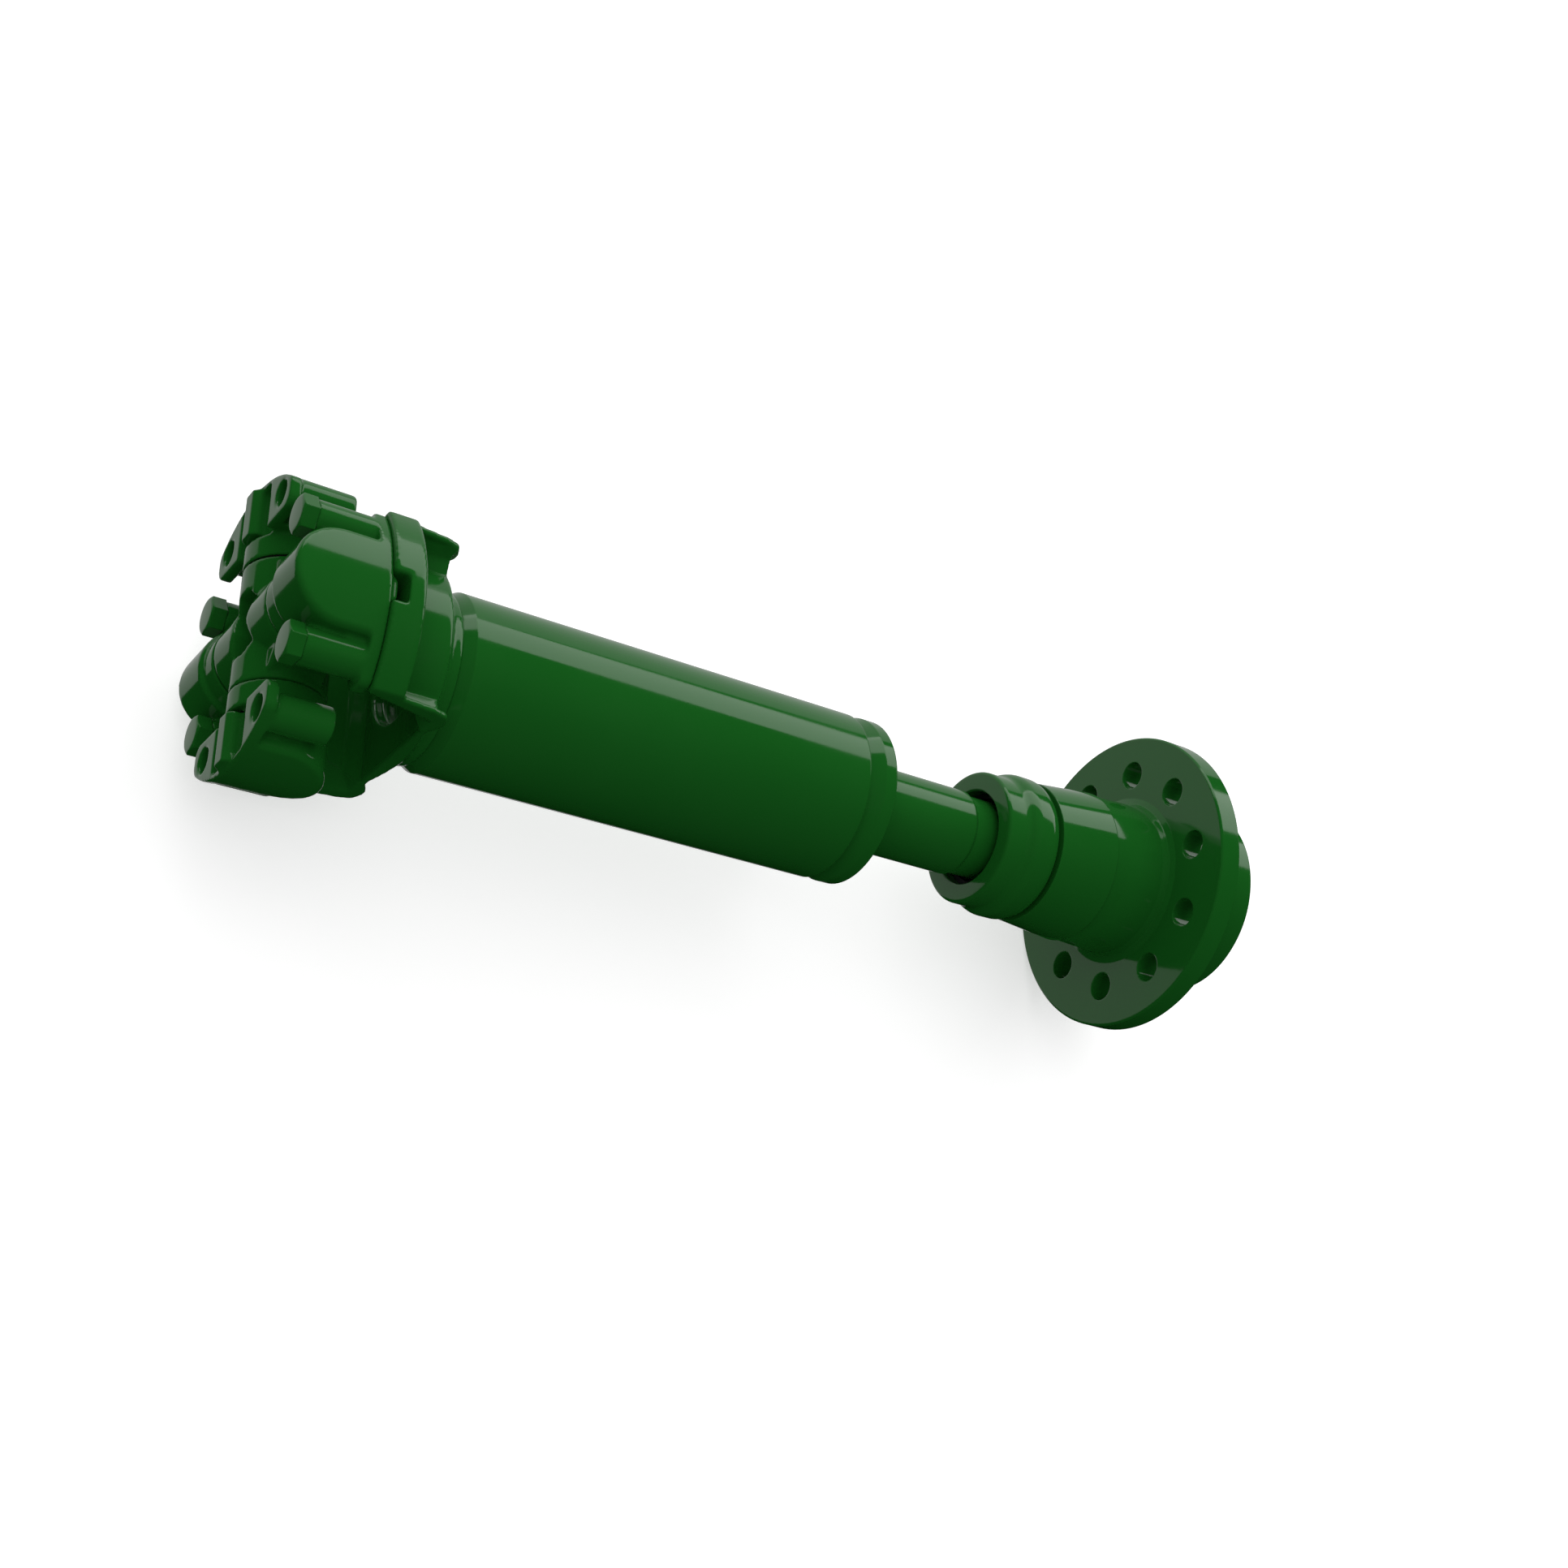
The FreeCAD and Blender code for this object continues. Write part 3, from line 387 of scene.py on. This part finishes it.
@dataclass(frozen=True)
class Enamel:
    """Gloss enamel over steel that was forged, turned or drawn."""

    name: str
    texture: Texture
    base: tuple = (0.0100, 0.128, 0.0140, 1.0)
    # Lighter green: painted highlight along sharp edges, and the tone of random lighter
    # paint patches.
    edge_highlight_and_patch_green: tuple = (0.0170, 0.165, 0.0220, 1.0)
    roughness: float = 0.075
    dulling: float = 0.05
    edge_radius: float = 0.0011
    # Share of the lighter green painted along sharp edges as a painted highlight.
    edge_highlight_share: float = 0.7
    drift_scale: float = 14.0
    drift_tint: float = 0.12
    peel_scale: float = 260.0
    peel_strength: float = 0.35
    forged_scale: float = 700.0
    forged_strength: float = 0.5
    marks_pitch: float = 0.0008
    turned_strength: float = 0.25
    drawn_strength: float = 0.08
    bump_strength: float = 0.25
    bump_depth: float = 0.00008

    def add_skin(
        self, tree: bpy.types.NodeTree, groups: NodeGroups
    ) -> bpy.types.NodeSocket:
        """Add the steel's own texture under the paint.

        Args:
            tree: The material's node tree.
            groups: The shared shader groups.

        Returns:
            The socket with its height.
        """
        if self.texture is Texture.FORGED:
            skin = use_group(
                tree, groups, "forged_skin", Scale=self.forged_scale,
                Strength=self.forged_strength,
            )
        else:
            turned = self.texture is Texture.TURNED
            skin = use_group(
                tree, groups, "turning_marks", Pitch=self.marks_pitch,
                Strength=self.turned_strength if turned else self.drawn_strength,
            )
        return skin.outputs["Height"]

    def build(self, groups: NodeGroups) -> bpy.types.Material:
        """Build the finish.

        Args:
            groups: The shared shader groups.

        Returns:
            The material.
        """
        material, shader = new_material(self.name)
        tree = material.node_tree
        edges = use_group(tree, groups, "edge_mask", Radius=self.edge_radius)
        drift = use_group(tree, groups, "drift", Scale=self.drift_scale).outputs["Mask"]
        colour = add_node(tree, "ShaderNodeMix", {"data_type": "RGBA"})
        # Painted highlight: sharp edges are mixed toward the lighter green; random drift
        # patches take a little of it as real tone variation.
        mask = math_node(
            tree, "ADD",
            math_node(tree, "MULTIPLY", edges.outputs["Edge"], self.edge_highlight_share),
            math_node(tree, "MULTIPLY", drift, self.drift_tint),
        )
        feed(tree, colour, "Factor", mask)
        feed(tree, colour, 6, self.base)
        feed(tree, colour, 7, self.edge_highlight_and_patch_green)
        feed(tree, shader, "Base Color", colour.outputs[2])
        feed(tree, shader, "Roughness", dull(tree, drift, self.roughness, self.dulling))
        peel = use_group(
            tree, groups, "orange_peel", Scale=self.peel_scale,
            Strength=self.peel_strength,
        )
        height = math_node(
            tree, "ADD", peel.outputs["Height"], self.add_skin(tree, groups)
        )
        bump = add_node(
            tree, "ShaderNodeBump", Strength=self.bump_strength,
            Distance=self.bump_depth, Height=height, Normal=edges.outputs["Normal"],
        )
        feed(tree, shader, "Normal", bump.outputs[0])
        return material


@dataclass(frozen=True)
class BareSteel:
    """Ground or machined steel with a film of grease."""

    name: str
    base: tuple = (0.46, 0.46, 0.45, 1.0)
    roughness: float = 0.28
    dulling: float = 0.12
    drift_scale: float = 60.0
    marks_pitch: float = 0.0003
    marks_strength: float = 0.4
    bump_strength: float = 0.2
    bump_depth: float = 0.0001

    def build(self, groups: NodeGroups) -> bpy.types.Material:
        """Build the finish.

        Args:
            groups: The shared shader groups.

        Returns:
            The material.
        """
        material, shader = new_material(self.name)
        tree = material.node_tree
        drift = use_group(tree, groups, "drift", Scale=self.drift_scale).outputs["Mask"]
        feed(tree, shader, "Base Color", self.base)
        feed(tree, shader, "Metallic", 1.0)
        feed(tree, shader, "Roughness", dull(tree, drift, self.roughness, self.dulling))
        marks = use_group(
            tree, groups, "turning_marks", Pitch=self.marks_pitch,
            Strength=self.marks_strength,
        )
        bump = add_node(
            tree, "ShaderNodeBump", Strength=self.bump_strength,
            Distance=self.bump_depth, Height=marks.outputs["Height"],
        )
        feed(tree, shader, "Normal", bump.outputs[0])
        return material


@dataclass(frozen=True)
class Soft:
    """Rubber or nylon with a fine moulded grain."""

    name: str
    base: tuple
    roughness: float = 0.6
    dulling: float = 0.15
    drift_scale: float = 90.0
    grain_scale: float = 2500.0
    grain_strength: float = 0.4
    bump_strength: float = 0.2
    bump_depth: float = 0.0001

    def build(self, groups: NodeGroups) -> bpy.types.Material:
        """Build the finish.

        Args:
            groups: The shared shader groups.

        Returns:
            The material.
        """
        material, shader = new_material(self.name)
        tree = material.node_tree
        drift = use_group(tree, groups, "drift", Scale=self.drift_scale).outputs["Mask"]
        feed(tree, shader, "Base Color", self.base)
        feed(tree, shader, "Roughness", dull(tree, drift, self.roughness, self.dulling))
        grain = use_group(
            tree, groups, "forged_skin", Scale=self.grain_scale,
            Strength=self.grain_strength,
        )
        bump = add_node(
            tree, "ShaderNodeBump", Strength=self.bump_strength,
            Distance=self.bump_depth, Height=grain.outputs["Height"],
        )
        feed(tree, shader, "Normal", bump.outputs[0])
        return material


Finish = Union[Enamel, BareSteel, Soft]


@dataclass
class Workshop:
    """All finishes of the shaft, built once and handed to its pieces."""

    groups: NodeGroups = field(default_factory=NodeGroups)
    built: dict = field(default_factory=dict)

    def finish(self, recipe: Finish) -> bpy.types.Material:
        """Return a finish's material, building it on first use.

        Args:
            recipe: The finish.

        Returns:
            The material.
        """
        if recipe.name not in self.built:
            self.built[recipe.name] = recipe.build(self.groups)
        return self.built[recipe.name]

    def dress(self, nodes: Iterable[str], recipe: Finish) -> None:
        """Give carried-over pieces a finish.

        Args:
            nodes: The names of the pieces.
            recipe: The finish they take.
        """
        material = self.finish(recipe)
        for name in nodes:
            for slot in frame["nodes"][name].material_slots:
                slot.material = material
            LOG.info("%s takes %s", name, recipe.name)


FORGED_GREEN = Enamel("forged_green", Texture.FORGED)
TURNED_GREEN = Enamel("turned_green", Texture.TURNED)
DRAWN_GREEN = Enamel("drawn_green", Texture.DRAWN)
BEARING_STEEL = BareSteel("bearing_steel")
SEAL_RUBBER = Soft("seal_rubber", (0.012, 0.012, 0.012, 1.0), 0.55)
NYLON = Soft("washer_nylon", (0.72, 0.68, 0.58, 1.0), 0.45)


def keep_piece(
    name: str, mesh: bpy.types.Mesh, node: str, material: bpy.types.Material
) -> bpy.types.Object:
    """Put a finished piece in the scene in place of a CAD node.

    Args:
        name: The piece's name.
        mesh: Its mesh, already in its place.
        node: The CAD node that it stands for.
        material: Its finish.

    Returns:
        The new object, riding on the node's body.
    """
    source = frame["nodes"][node]
    mesh.materials.clear()
    mesh.materials.append(material)
    for polygon in mesh.polygons:
        polygon.use_smooth = True
    piece = bpy.data.objects.new(name, mesh)
    bpy.context.scene.collection.objects.link(piece)
    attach(piece, source["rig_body"])
    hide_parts(node)
    LOG.info("%s: %d faces", name, len(mesh.polygons))
    return piece


def evaluated_mesh(thing: bpy.types.Object) -> bpy.types.Mesh:
    """Return an object's mesh with its modifiers applied, and drop the object.

    Args:
        thing: The working object.

    Returns:
        The finished mesh.
    """
    state = bpy.context.evaluated_depsgraph_get()
    mesh = bpy.data.meshes.new_from_object(thing.evaluated_get(state))
    bpy.data.objects.remove(thing)
    return mesh


def loose_mesh(name: str, form: bmesh.types.BMesh) -> bpy.types.Mesh:
    """Turn a bmesh into a mesh and free it.

    Args:
        name: The mesh's name.
        form: The bmesh.

    Returns:
        The new mesh.
    """
    mesh = bpy.data.meshes.new(name)
    form.to_mesh(mesh)
    form.free()
    return mesh


def loose_object(name: str, form: bmesh.types.BMesh) -> bpy.types.Object:
    """Turn a bmesh into a working object and free it.

    Args:
        name: The object's name.
        form: The bmesh.

    Returns:
        The new object.
    """
    thing = bpy.data.objects.new(name, loose_mesh(name, form))
    bpy.context.scene.collection.objects.link(thing)
    return thing


def turn_profile(
    corners: Iterable[tuple], closed: bool, rounds: dict, segments: int,
    axis: tuple, steps: int,
) -> bmesh.types.BMesh:
    """Draw a profile, round some of its corners and turn it about an axis.

    Args:
        corners: The profile's corners, in order.
        closed: Whether the last corner joins the first.
        rounds: The radius of each rounded corner, by its number.
        segments: How many steps a round has.
        axis: The axis that the profile turns about.
        steps: How many steps the turn has.

    Returns:
        The turned form.
    """
    form = bmesh.new()
    verts = [form.verts.new(corner) for corner in corners]
    ends = verts[1:] + verts[:1] if closed else verts[1:]
    for first, second in zip(verts, ends):
        form.edges.new((first, second))
    for index, radius in rounds.items():
        bmesh.ops.bevel(
            form, geom=[verts[index]], offset=radius, affect="VERTICES",
            segments=segments, profile=0.5, material=-1, clamp_overlap=True,
        )
    bmesh.ops.spin(
        form, geom=form.verts[:] + form.edges[:], cent=(0.0, 0.0, 0.0),
        axis=axis, angle=math.tau, steps=steps, use_merge=True,
    )
    bmesh.ops.remove_doubles(form, verts=form.verts, dist=TURNED_MERGE)
    bmesh.ops.recalc_face_normals(form, faces=form.faces)
    return form


@dataclass
class Forging:
    """One forged piece with the soft edges and inner rounds that its dies leave."""

    node: str
    grain: float = 0.0009
    passes: int = 3
    hold: float = 0.00004

    def build(self, shop: Workshop) -> bpy.types.Object:
        """Round the solid's edges and put the piece in the scene.

        Args:
            shop: The workshop that holds the finishes.

        Returns:
            The new piece.
        """
        form = bmesh.new()
        form.from_mesh(frame["nodes"][self.node].data)
        bmesh.ops.remove_doubles(form, verts=form.verts, dist=SOLID_MERGE)
        true_form = BVHTree.FromBMesh(form)
        blank = loose_object(self.node + "_blank", form)
        skin = blank.modifiers.new("skin", "REMESH")
        skin.mode = "VOXEL"
        skin.voxel_size = self.grain
        mesh = evaluated_mesh(blank)
        form = bmesh.new()
        form.from_mesh(mesh)
        for _ in range(self.passes):
            bmesh.ops.smooth_vert(
                form, verts=form.verts, factor=0.5,
                use_axis_x=True, use_axis_y=True, use_axis_z=True,
            )
        for vert in form.verts:
            spot, _normal, _index, gap = true_form.find_nearest(vert.co)
            if spot is not None and gap < self.hold:
                vert.co = spot
        form.to_mesh(mesh)
        form.free()
        return keep_piece(
            self.node + "_forging", mesh, self.node, shop.finish(FORGED_GREEN)
        )


@dataclass
class CapBolts:
    """The four hexagon bolts of the fixed caps, with crowned heads."""

    seat: float = -0.60045
    spread: float = 0.0714
    height: float = 0.0613
    grip: float = 0.052
    shank_radius: float = 0.00635
    shank_taper: float = 0.0008
    shank_sides: int = 48
    head_flats: float = 0.01905
    head_height: float = 0.0086
    crown: float = 0.0020
    crown_depth_share: float = 0.35
    crown_inset_share: float = 0.2
    crown_round_share: float = 0.6
    crown_segments: int = 4
    turning_reach: float = 1.1
    turning_rise: float = 0.001
    turning_steps: int = 72
    sharp_angle: float = 25.0

    @property
    def head_corner(self) -> float:
        """Return the radius over the head's corners."""
        return self.head_flats / math.sqrt(3.0)

    def shape_blank(self) -> bpy.types.Object:
        """Shape the plain hexagon.

        Returns:
            A working object.
        """
        form = bmesh.new()
        bmesh.ops.create_cone(
            form, cap_ends=True, segments=6, radius1=self.head_corner,
            radius2=self.head_corner, depth=self.head_height,
            matrix=Matrix.Translation((0.0, 0.0, -self.head_height / 2))
            @ Matrix.Rotation(math.radians(30.0), 4, "Z"),
        )
        bmesh.ops.recalc_face_normals(form, faces=form.faces)
        return loose_object("bolt_head", form)

    def shape_turning(self) -> bpy.types.Object:
        """Shape the crowned disc that the hexagon is turned down to.

        Returns:
            A working object.
        """
        reach = self.head_corner * self.turning_reach
        deep = (
            self.head_corner - self.head_flats / 2 + self.crown * self.crown_depth_share
        )
        face = self.head_flats / 2 - self.crown * self.crown_inset_share
        corners = (
            (0.0, 0.0, self.turning_rise),
            (reach, 0.0, self.turning_rise),
            (reach, 0.0, -self.head_height + deep),
            (face, 0.0, -self.head_height),
            (0.0, 0.0, -self.head_height),
        )
        form = turn_profile(
            corners, False, {3: self.crown * self.crown_round_share},
            self.crown_segments, (0.0, 0.0, 1.0), self.turning_steps,
        )
        return loose_object("bolt_turning", form)

    def shape_head(self) -> bpy.types.Mesh:
        """Shape one head: a hexagon whose front corners are turned off.

        Returns:
            The head's mesh.
        """
        head, turned = self.shape_blank(), self.shape_turning()
        trim = head.modifiers.new("turned_face", "BOOLEAN")
        trim.operation = "INTERSECT"
        trim.solver = "EXACT"
        trim.object = turned
        mesh = evaluated_mesh(head)
        bpy.data.objects.remove(turned)
        return mesh

    def shape_bolt(self) -> bpy.types.Mesh:
        """Shape one bolt: its head and its tapered shank.

        Returns:
            The bolt's mesh, standing on the seat of its head.
        """
        form = bmesh.new()
        form.from_mesh(self.shape_head())
        bmesh.ops.create_cone(
            form, cap_ends=True, segments=self.shank_sides, radius1=self.shank_radius,
            radius2=self.shank_radius - self.shank_taper, depth=self.grip,
            matrix=Matrix.Translation((0.0, 0.0, self.grip / 2)),
        )
        return loose_mesh("bolt", form)

    def build(self, shop: Workshop) -> bpy.types.Object:
        """Set the four bolts in their places.

        Args:
            shop: The workshop that holds the finishes.

        Returns:
            The new piece.
        """
        bolt = self.shape_bolt()
        form = bmesh.new()
        lie = Matrix.Rotation(math.radians(90.0), 4, "Y")
        for up in (1.0, -1.0):
            for side in (1.0, -1.0):
                place = (self.seat, self.spread / 2 * side, self.height * up)
                one = bolt.copy()
                one.transform(Matrix.Translation(place) @ lie)
                form.from_mesh(one)
        piece = keep_piece(
            "cap_bolt_set", loose_mesh("cap_bolt_set", form), "cap_bolts",
            shop.finish(FORGED_GREEN),
        )
        piece.data.set_sharp_from_angle(angle=math.radians(self.sharp_angle))
        return piece


@dataclass
class DustCap:
    """The turned cap on the hub's mouth: rounded rim, barrel and a soft bead."""

    face: float = -0.1386
    nose: float = -0.1300
    mouth_radius: float = 0.0304
    barrel_radius: float = 0.04175
    barrel_end: float = 0.0150
    bead_radius: float = 0.04535
    bead_start: float = 0.0200
    bead_end: float = 0.0330
    tail_end: float = 0.0373
    tail_radius: float = 0.0430
    seat_radius: float = 0.03766
    lip_radius: float = 0.0296
    lip_depth: float = 0.0008
    rim_round: float = 0.0022
    bead_front_round: float = 0.0030
    bead_back_round: float = 0.0025
    round_segments: int = 6
    steps: int = 144
    sharp_angle: float = 32.0

    def build(self, shop: Workshop) -> bpy.types.Object:
        """Turn the cap and put it in the scene.

        Args:
            shop: The workshop that holds the finishes.

        Returns:
            The new piece.
        """
        corners = (
            (self.face, self.mouth_radius, 0.0),
            (self.face, self.barrel_radius, 0.0),
            (self.face + self.barrel_end, self.barrel_radius, 0.0),
            (self.face + self.bead_start, self.bead_radius, 0.0),
            (self.face + self.bead_end, self.bead_radius, 0.0),
            (self.face + self.tail_end, self.tail_radius, 0.0),
            (self.face + self.tail_end, self.seat_radius, 0.0),
            (self.nose, self.seat_radius, 0.0),
            (self.nose, self.lip_radius, 0.0),
            (self.face + self.lip_depth, self.lip_radius, 0.0),
        )
        rounds = {
            1: self.rim_round,
            2: self.rim_round,
            3: self.bead_front_round,
            4: self.bead_back_round,
        }
        form = turn_profile(
            corners, True, rounds, self.round_segments, (1.0, 0.0, 0.0), self.steps
        )
        piece = keep_piece(
            "dust_cap_turning", loose_mesh("dust_cap_turning", form), "dust_cap",
            shop.finish(TURNED_GREEN),
        )
        piece.data.set_sharp_from_angle(angle=math.radians(self.sharp_angle))
        return piece


@dataclass
class FlangeEnd:
    """The slip hub with its dust cap, wiper and end plug."""

    cap: DustCap = field(default_factory=DustCap)
    turned: tuple = ("slip_hub", "end_plug")

    def dress(self, shop: Workshop) -> None:
        """Build the dust cap and give the flange end its finishes.

        Args:
            shop: The workshop that holds the finishes.
        """
        self.cap.build(shop)
        shop.dress(self.turned, TURNED_GREEN)
        shop.dress(["wiper_seal"], SEAL_RUBBER)


@dataclass
class TubeAssembly:
    """The tube with its stub shaft and yoke."""

    yoke_grain: float = 0.0011
    yoke_passes: int = 2

    def dress(self, shop: Workshop) -> None:
        """Build the yoke and give the tube and its ends their finishes.

        Args:
            shop: The workshop that holds the finishes.
        """
        Forging("tube_yoke", self.yoke_grain, self.yoke_passes).build(shop)
        shop.dress(["stub_shaft"], TURNED_GREEN)
        shop.dress(["main_tube"], DRAWN_GREEN)


@dataclass
class UniversalJoint:
    """The cross, its four bearing caps and their inner pieces."""

    caps: dict = field(default_factory=lambda: {
        "top": CapKind.FIXED,
        "bottom": CapKind.FIXED,
        "left": CapKind.FREE,
        "right": CapKind.FREE,
    })
    cross_passes: int = 6

    def dress(self, shop: Workshop) -> None:
        """Build the joint's forgings and bolts and finish its inner pieces.

        Args:
            shop: The workshop that holds the finishes.
        """
        for end, kind in self.caps.items():
            Forging(kind.value + end).build(shop)
        Forging("cross", passes=self.cross_passes).build(shop)
        CapBolts().build(shop)
        shop.dress(["needles_" + end for end in self.caps], BEARING_STEEL)
        shop.dress(["thrust_washer_" + end for end in self.caps], NYLON)
        shop.dress(["seal_" + end for end in self.caps], SEAL_RUBBER)


@dataclass
class Studio:
    """The pale floor, the soft lights and the photograph's camera."""

    middle: tuple = (-0.3, 0.0, 0.0)
    floor_half: float = 20.0
    floor_drop: float = 0.0005
    floor_colour: tuple = (0.86, 0.86, 0.86, 1.0)
    floor_roughness: float = 0.9
    floor_glow: float = 0.55
    camera_place: tuple = (-0.925727, -0.544097, 0.953660)
    camera_right: tuple = (0.826508, -0.000834, 0.562924)
    camera_up: tuple = (-0.239367, 0.904568, 0.352789)
    lens: float = 50.0
    sensor: float = 36.0
    box_place: tuple = (0.6, 2.4, 1.55)
    box_size: tuple = (6.0, 1.5)
    box_power: float = 48.0
    bounce_from: tuple = (0.0, 0.85, -0.53)
    bounce_spread: float = 104.0
    bounce_strength: float = 0.95
    top_from: tuple = (-0.2, 0.1, 1.0)
    top_spread: float = 80.0
    top_strength: float = 1.1
    air_strength: float = 0.25
    air_glow: float = 0.75

    def lay_floor(self) -> None:
        """Lay a plain pale floor just under the shaft."""
        form = bmesh.new()
        low = CAD_BOX[0][2] - self.floor_drop
        bmesh.ops.create_grid(
            form, x_segments=1, y_segments=1, size=self.floor_half,
            matrix=Matrix.Translation((self.middle[0], self.middle[1], low)),
        )
        mesh = loose_mesh("studio_floor", form)
        material, shader = new_material("pale_floor")
        tree = material.node_tree
        feed(tree, shader, "Base Color", self.floor_colour)
        feed(tree, shader, "Roughness", self.floor_roughness)
        feed(tree, shader, "Emission Color", WHITE)
        feed(tree, shader, "Emission Strength", self.floor_glow)
        mesh.materials.append(material)
        floor = bpy.data.objects.new("studio_floor", mesh)
        floor.visible_glossy = False
        floor.visible_shadow = False
        floor.visible_diffuse = False
        bpy.context.scene.collection.objects.link(floor)
        LOG.info("floor laid at %.4f m", low)

    def fill_air(self) -> None:
        """Fill the scene with a faint even light, white where the camera sees it."""
        world = bpy.data.worlds.new("studio_air")
        world.use_nodes = True
        tree = world.node_tree
        air = tree.nodes["Background"]
        feed(tree, air, "Color", WHITE)
        seen = add_node(tree, "ShaderNodeLightPath").outputs["Is Camera Ray"]
        feed(tree, air, "Strength", math_node(
            tree, "ADD", self.air_strength,
            math_node(tree, "MULTIPLY", seen, self.air_glow),
        ))
        world.cycles_visibility.glossy = False
        bpy.context.scene.world = world

    def hang_box(self) -> None:
        """Hang the long soft box whose band runs along the shaft."""
        data = bpy.data.lights.new("long_box", "AREA")
        data.shape = "RECTANGLE"
        data.size, data.size_y = self.box_size
        data.energy = self.box_power
        lamp = bpy.data.objects.new("long_box", data)
        look = Vector(self.middle) - Vector(self.box_place)
        turn = look.to_track_quat("-Z", "Y").to_matrix().to_4x4()
        lamp.matrix_world = Matrix.Translation(self.box_place) @ turn
        bpy.context.scene.collection.objects.link(lamp)
        LOG.info("long_box set")

    def add_disc(
        self, name: str, place: tuple, spread: float, strength: float
    ) -> bpy.types.Object:
        """Add a far light whose disc is wide enough to be soft.

        Args:
            name: The light's name.
            place: The direction that it comes from.
            spread: The angle of its disc, in degrees.
            strength: Its strength.

        Returns:
            The lamp.
        """
        data = bpy.data.lights.new(name, "SUN")
        data.energy = strength
        data.angle = math.radians(spread)
        lamp = bpy.data.objects.new(name, data)
        lamp.rotation_euler = (-Vector(place)).to_track_quat("-Z", "Y").to_euler()
        bpy.context.scene.collection.objects.link(lamp)
        LOG.info("%s set", name)
        return lamp

    def light(self) -> None:
        """Light the scene with the air, a long box, the floor's bounce and a fill."""
        self.fill_air()
        self.hang_box()
        self.add_disc(
            "floor_bounce", self.bounce_from, self.bounce_spread, self.bounce_strength
        )
        top = self.add_disc(
            "top_fill", self.top_from, self.top_spread, self.top_strength
        )
        top.visible_glossy = False

    def set_camera(self) -> None:
        """Set the camera at the photograph's viewing angle."""
        right = Vector(self.camera_right).normalized()
        up = Vector(self.camera_up).normalized()
        back = right.cross(up)
        data = bpy.data.cameras.new("photo_camera")
        data.lens = self.lens
        data.sensor_width = self.sensor
        data.sensor_fit = "HORIZONTAL"
        camera = bpy.data.objects.new("photo_camera", data)
        camera.matrix_world = Matrix((
            (right.x, up.x, back.x, self.camera_place[0]),
            (right.y, up.y, back.y, self.camera_place[1]),
            (right.z, up.z, back.z, self.camera_place[2]),
            (0.0, 0.0, 0.0, 1.0),
        ))
        bpy.context.scene.collection.objects.link(camera)
        bpy.context.scene.camera = camera
        LOG.info("camera set")

    def build(self) -> None:
        """Set up floor, lights, camera and the picture's tone."""
        self.lay_floor()
        self.light()
        self.set_camera()
        bpy.context.scene.view_settings.view_transform = "Standard"


def main() -> None:
    """Build the parts of the shaft in order and set up the studio."""
    shop = Workshop()
    for part in (FlangeEnd(), TubeAssembly(), UniversalJoint()):
        part.dress(shop)
    Studio().build()


if __name__ == "__main__":
    main()
